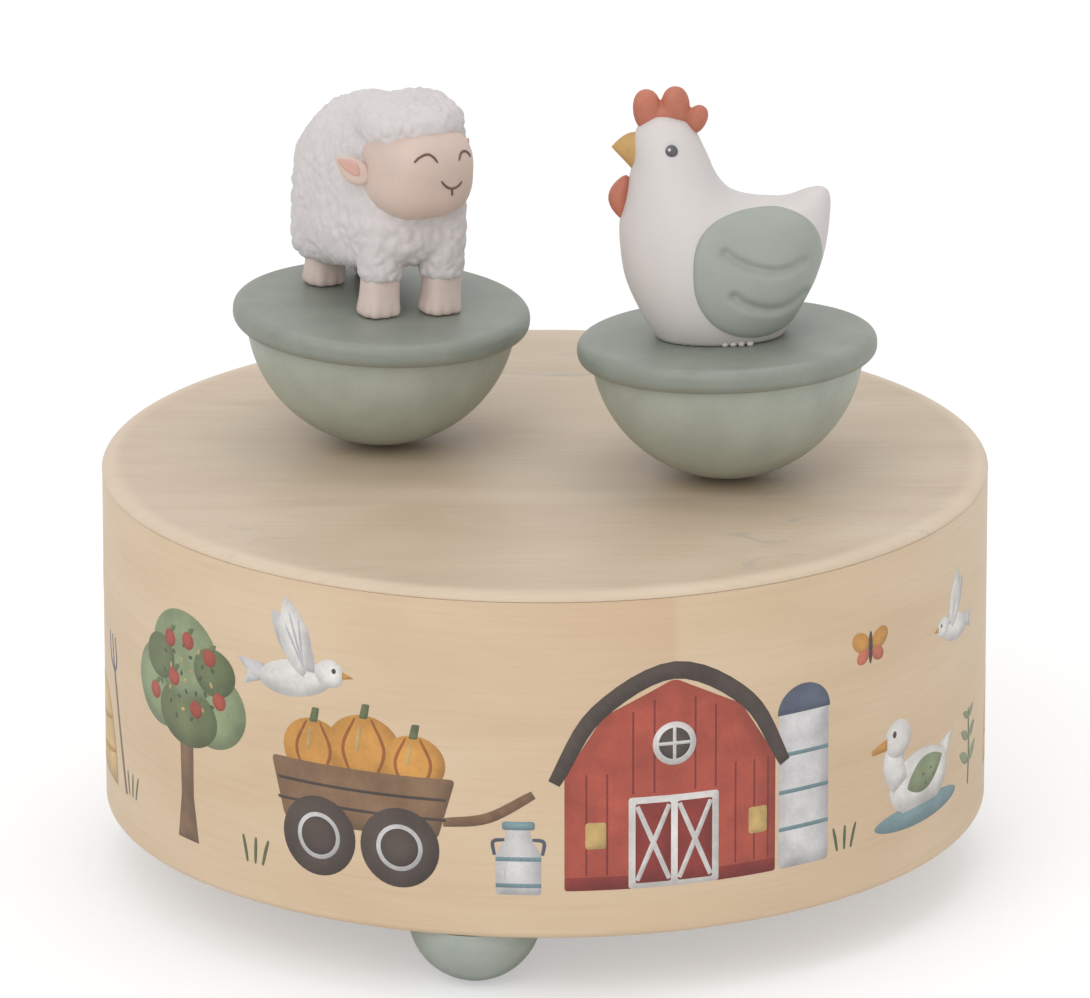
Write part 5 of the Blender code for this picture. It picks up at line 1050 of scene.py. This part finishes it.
def make_ear(number, side, place):
    """Leaf-shaped ear swept back from the cheek, pink inside its upper half."""
    root, tip = (stand(*FAR_EAR_ROOT), stand(*FAR_EAR_TIP)) if side > 0 else (stand(*EAR_ROOT),
                                                                              stand(*EAR_TIP))
    length = tip - root
    way = length.normalized()
    out = Vector((0.8, side * 0.66, 0.0))
    out = (out - way * out.dot(way)).normalized()
    across = out.cross(way)
    across = across if across.z > 0 else -across

    def leaf_surface(start, end, half_width, half_thick, lift, drop):
        rings = []
        for k in range(29):
            share = k / 28
            along = start + (end - start) * share
            breadth = sin(pi * share ** 0.75) ** 0.8 if 0 < k < 28 else 0
            centre = root + length * along + across * (lift * breadth * MM) + out * drop * MM
            ring = []
            for i in range(32 if breadth else 1):
                turn = 2 * pi * i / 32
                wide = half_width * breadth * cos(turn)
                thick = half_thick * breadth ** 0.6 * sin(turn)
                if sin(turn) > 0:
                    thick *= 0.55 + 0.45 * abs(wide / half_width)
                ring.append(centre + across * wide * MM + out * thick * MM)
            rings.append(ring)
        return skin(rings)

    shell = leaf_surface(-0.25, 1.0, EAR_HALF_WIDTH, EAR_HALF_THICKNESS, 0.0, 0.0)
    place_piece(f"sheep_ear_shell_{number}", shell, "face", "sheep", [f"sheep_ear_{number}"],
                matrix=place, crease=180)
    inside = leaf_surface(0.10, 0.88, EAR_HALF_WIDTH * 0.52, 0.34, 0.42, EAR_HALF_THICKNESS * 0.62)
    place_piece(f"sheep_ear_inside_{number}", inside, "ear_pink", "sheep", matrix=place,
                crease=180)


def make_leg(number, x, y, place):
    """Rounded block of a leg that widens into a hoof with shallow toes."""
    rows = [(0.05, 0.0), (0.05, 0.90), (0.25, 1.06), (0.7, 1.12), (1.5, 1.06), (2.6, 0.99), (4.2, 0.97),
            (6.5, 0.97), (8.6, 0.97), (8.6, 0.0)]
    count = 72
    rings = []
    for height, size in rows:
        ring = []
        for i in range(count if size else 1):
            a = 2 * pi * i / count
            reach = (abs(cos(a)) ** 3 + abs(sin(a)) ** 3) ** (-1 / 3) * size
            toes = sum(exp(-((atan2(sin(a - t), cos(a - t))) / 0.15) ** 2) for t in (-0.95, -0.32, 0.32,
                                                                                     0.95))
            reach *= 1 - 0.11 * toes * max(0.0, 1 - height / 2.4)
            ring.append(stand(x + 2.15 * reach * cos(a), y + 2.5 * reach * sin(a), height))
        rings.append(ring)
    thing = place_piece(f"sheep_leg_hoof_{number}", skin(rings), "leg", "sheep", [f"sheep_leg_{number}"],
                        matrix=place, crease=70)
    rounding = thing.modifiers.new("Rounding", "SUBSURF")
    rounding.levels = rounding.render_levels = 1


def make_sheep():
    """Fleece, face, ears and legs on their rocker."""
    place = make_rocker("sheep")
    make_fleece(place)
    face = blob([r * MM for r in FACE_RADII], stand(*FACE_CENTRE), FACE_POWER, 112, 72)
    face_piece = place_piece("sheep_muzzle", face, "face", "sheep", ["sheep_face"], matrix=place, crease=180)
    draw_on_face(face_piece, place)
    for number, side in enumerate((1, -1), 1):
        make_ear(number, side, place)
    for number, (x, y) in enumerate(LEGS, 1):
        make_leg(number, x, y, place)


def surface_points(thing, place, pixels, lift):
    """Where lines of sight through pixels meet a piece, in its own frame."""
    bm = bmesh.new()
    bm.from_mesh(thing.data)
    tree = BVHTree.FromBMesh(bm)
    bm.free()
    back = place.inverted()
    found = []
    for pixel in pixels:
        start, way = pixel_ray(pixel)
        hit, normal, _, _ = tree.ray_cast(back @ start, back.to_3x3() @ way)
        if hit is not None:
            found.append(hit + normal * lift)
    return found


def draw_on_face(face, place):
    """Closed eyes, smile and chin line as fine raised strokes."""
    strokes = [*EYE_PIXELS.values(), SMILE_PIXELS, CHIN_LINE_PIXELS]
    beads = []
    for pixels in strokes:
        flat = smooth_path([(x, y, 0) for x, y in pixels], 6)
        points = surface_points(face, place, [(p.x, p.y) for p in flat], 0.0)
        if len(points) > 2:
            beads.append(tube(points, 0.17 * MM))
    place_piece("sheep_face_lines", merge(beads), "line", "sheep", matrix=place, crease=180)


# Hen: millimetres towards the beak, to her left, and up from her cap

HEN_HALF_WIDTH = 9.5
HEN_CENTRE = Vector((1.6, 10.9))
HEN_OUTLINE = (
    (13.33, 12.4), (13.22, 15.7), (12.33, 19.2), (11.44, 23.0), (11.0, 26.8), (9.3, 28.9),
    (6.8, 29.4), (3.9, 28.0), (2.0, 24.3), (0.7, 21.1), (-1.1, 18.9), (-4.05, 18.0),
    (-7.85, 17.85), (-11.1, 18.9), (-13.15, 18.85), (-13.8, 17.0), (-13.15, 11.8), (-11.9, 7.7),
    (-10.4, 4.7), (-8.15, 1.15), (-4.9, -2.6), (1.35, -3.75), (6.8, -2.6), (9.35, 0.6),
    (11.3, 4.2), (12.8, 8.1),
)
WING_CENTRE = Vector((-4.25, 9.2))
WING_RADII = (8.35, 8.2)
WING_TOP_ROUNDNESS, WING_BOTTOM_ROUNDNESS = 3.0, 2.05
WING_RISE = 0.85
WING_THINNEST = 0.1
FEATHER_LINES = (
    ((-0.1, 12.9), (-1.5, 11.8), (-3.3, 10.9), (-5.1, 10.3), (-6.5, 10.0), (-8.3, 10.1), (-10.0, 10.8)),
    ((-1.1, 7.3), (-2.2, 6.3), (-3.8, 5.5), (-5.4, 5.0), (-7.0, 4.9), (-8.7, 5.3), (-10.0, 6.2)),
)
FEATHER_DEPTH = 0.72
FEATHER_WIDTH = 0.66


def closed_curve(points, per_span):
    """Rounded closed curve through points of a plane."""
    points = [Vector(p) for p in points]
    count = len(points)
    loop = []
    for i in range(count):
        p0, p1, p2, p3 = (points[(i + k) % count] for k in (-1, 0, 1, 2))
        for step in range(per_span):
            t = step / per_span
            loop.append(0.5 * (2 * p1 + (p2 - p0) * t + (2 * p0 - 5 * p1 + 4 * p2 - p3) * t ** 2
                               + (3 * p1 - p0 - 3 * p2 + p3) * t ** 3))
    return loop


HEN_LOOP = closed_curve(HEN_OUTLINE, 10)


def reach_to_outline(centre, way):
    """Distance from a point inside the hen's side outline to the outline in a direction."""
    best = 99.0
    for a, b in zip(HEN_LOOP, HEN_LOOP[1:] + HEN_LOOP[:1]):
        edge = b - a
        cross = way.x * edge.y - way.y * edge.x
        if abs(cross) > 1e-9:
            gap = a - centre
            far = (gap.x * edge.y - gap.y * edge.x) / cross
            share = (gap.x * way.y - gap.y * way.x) / cross
            if far > 0 and 0 <= share <= 1:
                best = min(best, far)
    return best


def inflated(loop, centre, levels, widest):
    """Rings of a pillow: like a skin blown up over the outline, thickest where it is broad."""
    shares = [cos(pi / 2 * k / levels) for k in range(levels)]
    flat = [centre + (p - centre) * s for s in shares for p in loop] + [centre]
    points = numpy.array([(p.x, p.y) for p in flat])
    count = len(loop)
    faces = []
    for level in range(levels - 1):
        for i in range(count):
            j = (i + 1) % count
            a, b = level * count + i, level * count + j
            c, d = a + count, b + count
            faces += [(a, b, d), (a, d, c)]
    last = (levels - 1) * count
    faces += [(last + i, last + (i + 1) % count, len(flat) - 1) for i in range(count)]
    faces = numpy.array(faces)
    first, second, weights = [], [], []
    load = numpy.zeros(len(flat))
    for corner in range(3):
        a, b, c = faces[:, corner], faces[:, (corner + 1) % 3], faces[:, (corner + 2) % 3]
        u, v = points[b] - points[a], points[c] - points[a]
        area = numpy.abs(u[:, 0] * v[:, 1] - u[:, 1] * v[:, 0])
        first.append(b)
        second.append(c)
        weights.append((u * v).sum(axis=1) / numpy.maximum(area, 1e-9) / 2)
        numpy.add.at(load, a, area / 6)
    first, second, weights = numpy.concatenate(first), numpy.concatenate(second), numpy.concatenate(weights)
    free = numpy.arange(len(flat)) >= count

    def stiffness(field):
        flow = weights * (field[first] - field[second])
        out = numpy.bincount(first, flow, len(flat)) - numpy.bincount(second, flow, len(flat))
        return out * free

    height = numpy.zeros(len(flat))
    rest = load * free
    move = rest.copy()
    size = rest @ rest
    for _ in range(900):
        push = stiffness(move)
        step = size / (move @ push)
        height += step * move
        rest -= step * push
        fresh = rest @ rest
        if fresh < 1e-16:
            break
        move = rest + move * (fresh / size)
        size = fresh
    half = numpy.sqrt(numpy.maximum(height, 0.0))
    half *= widest / half.max()
    return [[(*flat[level * count + i], half[level * count + i]) for i in range(count)]
            for level in range(levels)], (*centre, half[-1])


def torso_form():
    """Closed body of the hen, flat where she sits on the cap."""
    levels, top = inflated(HEN_LOOP, HEN_CENTRE, 34, HEN_HALF_WIDTH)
    near = [[stand(x, y, max(z, 0.1)) for x, z, y in ring] for ring in levels]
    far = [[stand(x, -y, max(z, 0.1)) for x, z, y in ring] for ring in levels[1:]]
    return skin([[stand(top[0], -top[2], top[1])], *far[::-1], *near, [stand(top[0], top[2], top[1])]])


def feather_groove(x, z):
    """Depth of the curved feather lines at a point of the wing, in millimetres."""
    depth = 0.0
    for line in FEATHER_LINES:
        gap = 99.0
        for a, b in zip(line, line[1:]):
            a, b = Vector(a), Vector(b)
            share = min(1.0, max(0.0, (Vector((x, z)) - a).dot(b - a) / (b - a).length_squared))
            gap = min(gap, (a + (b - a) * share - Vector((x, z))).length)
        depth += FEATHER_DEPTH * exp(-(gap / FEATHER_WIDTH) ** 2)
    return depth


def hen_wing(side, tree):
    """Raised wing that follows the body, with its feather lines."""
    count, steps = 144, 60
    edge = []
    for i in range(count):
        way = Vector((cos(2 * pi * i / count), sin(2 * pi * i / count)))
        power = WING_TOP_ROUNDNESS if way.y > 0 else WING_BOTTOM_ROUNDNESS
        reach = ((abs(way.x) / WING_RADII[0]) ** power + (abs(way.y) / WING_RADII[1]) ** power) ** (-1 / power)
        edge.append((way, min(reach, reach_to_outline(WING_CENTRE, way) - 0.16)))
    rings = []
    for k in range(steps + 3):
        share = min(1.0, k / steps)
        ring = []
        for way, reach in edge[:count if k else 1]:
            spot = WING_CENTRE + way * reach * share
            hit = tree.ray_cast(stand(spot.x, side * 40, spot.y), Vector((0, -side, 0)))[0]
            rise = WING_RISE * (1 - share ** 16) ** 0.5
            rise -= min(feather_groove(spot.x, spot.y), max(0.0, rise - WING_THINNEST))
            if k > steps:
                rise = -0.6 * (k - steps)
            base = abs(hit.y) / MM if hit is not None else 0.3
            ring.append(stand(spot.x, side * max(0.05, base + rise), spot.y))
        rings.append(ring)
    rings.append([stand(WING_CENTRE.x, side * 2, WING_CENTRE.y)])
    return skin(rings)


def make_hen():
    """Body, wings, comb, beak, wattle and eyes."""
    place = make_rocker("hen")
    toes = [blob((0.46 * MM, 0.6 * MM, 0.4 * MM), stand(x, 6.55, 0.3), 2.0, 20, 12) for x in (0.3,
                                                                                              -0.75,
                                                                                              -1.8, -2.9)]
    torso = place_piece("hen_torso", torso_form(), "hen_white", "hen", ["hen_body"], matrix=place, crease=60)
    place_piece("hen_toes", merge(toes), "hen_white", "hen", matrix=place, crease=180)
    bm = bmesh.new()
    bm.from_mesh(torso.data)
    tree = BVHTree.FromBMesh(bm)
    bm.free()
    for number, side in enumerate((1, -1), 1):
        place_piece(f"hen_wing_relief_{number}", hen_wing(side, tree), "wing", "hen", [f"hen_wing_{number}"],
                    matrix=place, crease=180)

    lobes = [((9.25, 0, 29.8), (1.85, 1.45, 2.75), 5), ((5.65, 0, 30.1), (1.85, 1.5, 2.7), 0),
             ((3.05, 0, 28.4), (1.35, 1.3, 1.95), -30), ((6.6, 0, 29.0), (3.2, 1.4, 1.6), 6)]
    forms = [blob([r * MM for r in radii], stand(*centre), 2.2, 32, 20,
                  Matrix.Rotation(radians(turn), 3, "Y"))
             for centre, radii, turn in lobes]
    place_piece("hen_comb_lobes", melt(forms, 0.14 * MM, 4), "red", "hen", ["hen_comb"], matrix=place,
                crease=180)

    root, tip = stand(10.5, 0, 24.0), stand(14.0, 0, 25.15)
    rings = []
    for k in range(21):
        share = k / 20
        centre = root.lerp(tip, share) + Vector((0, 0, 0.3 * MM * sin(pi * share)))
        size = 2.9 * MM * (1 - share ** 1.3) ** 0.95
        rings.append([centre] if k == 20 else [
            centre + Vector((0, size * 0.68 * cos(2 * pi * i / 40),
                             size * sin(2 * pi * i / 40))) for i in range(40)])
    place_piece("hen_bill", skin(rings), "beak", "hen", ["hen_beak"], matrix=place, crease=60)

    rings = []
    for k in range(29):
        share = k / 28
        size = sin(pi * share ** 0.8) ** 0.8
        centre = stand(12.25 + 0.95 * sin(pi * share), 0, 14.9 + 6.5 * (1 - share))
        rings.append([centre] if k in (0, 28) else [
            centre + Vector((1.45 * MM * size * cos(2 * pi * i / 32),
                             1.9 * MM * size * sin(2 * pi * i / 32), 0))
            for i in range(32)])
    place_piece("hen_wattle_drop", skin(rings), "red", "hen", ["hen_wattle"], matrix=place, crease=180)

    spot = surface_points(torso, place, [HEN_EYE_PIXEL], 0.0)[0]
    for number, side in enumerate((1, -1), 1):
        centre = Vector((spot.x, spot.y * side, spot.z))
        eye = blob((0.8 * MM, 0.5 * MM, 0.86 * MM), centre, 2.0, 32, 20)
        place_piece(f"hen_eye_{number}", eye, "eye", "hen", matrix=place, crease=180)
        shine = blob((0.22 * MM, 0.2 * MM, 0.22 * MM),
                     centre + Vector((0.28 * MM, side * 0.42 * MM, 0.30 * MM)), 2.0, 20, 12)
        place_piece(f"hen_eye_glint_{number}", shine, "hen_white", "hen", matrix=place, crease=180)


# Inner works and small CAD pieces keep their solids

def finish_cad():
    """Give the CAD nodes that show their finish."""
    slots = {row["node"]: row["material_slot"] for row in frame["record"]["subparts"]}
    for name, thing in frame["nodes"].items():
        if not thing.hide_render:
            thing.data.materials.clear()
            thing.data.materials.append(MATERIALS[slots[name]])


# Stage

def area_lamp(name, place, target, size, power):
    """Soft square lamp."""
    lamp = bpy.data.lights.new(name, "AREA")
    lamp.shape = "SQUARE"
    lamp.size = size
    lamp.energy = power
    thing = bpy.data.objects.new(name, lamp)
    bpy.context.scene.collection.objects.link(thing)
    thing.location = place
    thing.rotation_euler = (Vector(target) - Vector(place)).to_track_quat("-Z", "Y").to_euler()


def make_stage():
    """Floor, world, lamps and camera."""
    scene = bpy.context.scene
    floor_bm = bmesh.new()
    bmesh.ops.create_grid(floor_bm, x_segments=1, y_segments=1, size=4)
    mesh = bpy.data.meshes.new("floor")
    floor_bm.to_mesh(mesh)
    floor_bm.free()
    floor = bpy.data.objects.new("floor", mesh)
    scene.collection.objects.link(floor)
    floor.location.z = -0.05 * MM
    s = Shader("floor_white")
    s.bsdf.inputs["Roughness"].default_value = 0.9
    s.bsdf.inputs["Emission Color"].default_value = (1, 1, 1, 1)
    seen = s.tree.nodes.new("ShaderNodeLightPath").outputs["Is Camera Ray"]
    s.feed(s.bsdf.inputs["Base Color"], s.mix(seen, (FLOOR_LIT,) * 3, (FLOOR_SEEN,) * 3))
    s.feed(s.bsdf.inputs["Emission Strength"], s.math("MULTIPLY", seen, FLOOR_GLOW))
    mesh.materials.append(s.material)

    world = bpy.data.worlds.new("studio")
    scene.world = world
    world.use_nodes = True
    tree = world.node_tree
    tree.nodes.clear()
    out = tree.nodes.new("ShaderNodeOutputWorld")
    path = tree.nodes.new("ShaderNodeLightPath")
    seen = tree.nodes.new("ShaderNodeMath")
    seen.operation = "MAXIMUM"
    tree.links.new(path.outputs["Is Camera Ray"], seen.inputs[0])
    tree.links.new(path.outputs["Is Glossy Ray"], seen.inputs[1])
    clear = tree.nodes.new("ShaderNodeMath")
    clear.operation = "MAXIMUM"
    tree.links.new(seen.outputs[0], clear.inputs[0])
    tree.links.new(path.outputs["Is Transmission Ray"], clear.inputs[1])
    light = tree.nodes.new("ShaderNodeBackground")
    light.inputs["Color"].default_value = (1, 1, 1, 1)
    light.inputs["Strength"].default_value = 0.70
    white = tree.nodes.new("ShaderNodeBackground")
    white.inputs["Color"].default_value = (1, 1, 1, 1)
    white.inputs["Strength"].default_value = 1.0
    mixer = tree.nodes.new("ShaderNodeMixShader")
    tree.links.new(clear.outputs[0], mixer.inputs[0])
    tree.links.new(light.outputs[0], mixer.inputs[1])
    tree.links.new(white.outputs[0], mixer.inputs[2])
    tree.links.new(mixer.outputs[0], out.inputs["Surface"])

    middle = (0, 0, DRUM_TOP)
    area_lamp("key", (-0.45, -0.9, 0.95), middle, 0.9, 4.5)
    area_lamp("fill", (0.15, -1.25, 0.18), middle, 0.8, 1.1)
    area_lamp("top", (0.1, 0.15, 1.2), middle, 1.0, 2.9)

    camera = bpy.data.objects.new("camera", bpy.data.cameras.new("camera"))
    scene.collection.objects.link(camera)
    camera.matrix_world = camera_matrix()
    camera.data.sensor_width = SENSOR_WIDTH
    camera.data.lens = FOCAL_PIXELS * SENSOR_WIDTH / IMAGE_WIDTH
    camera.data.clip_start = 0.01
    camera.data.clip_end = 50
    scene.camera = camera
    scene.view_settings.view_transform = "Standard"


make_drum()
make_picture()
make_sheep()
make_hen()
finish_cad()
make_stage()

bpy.context.view_layer.update()
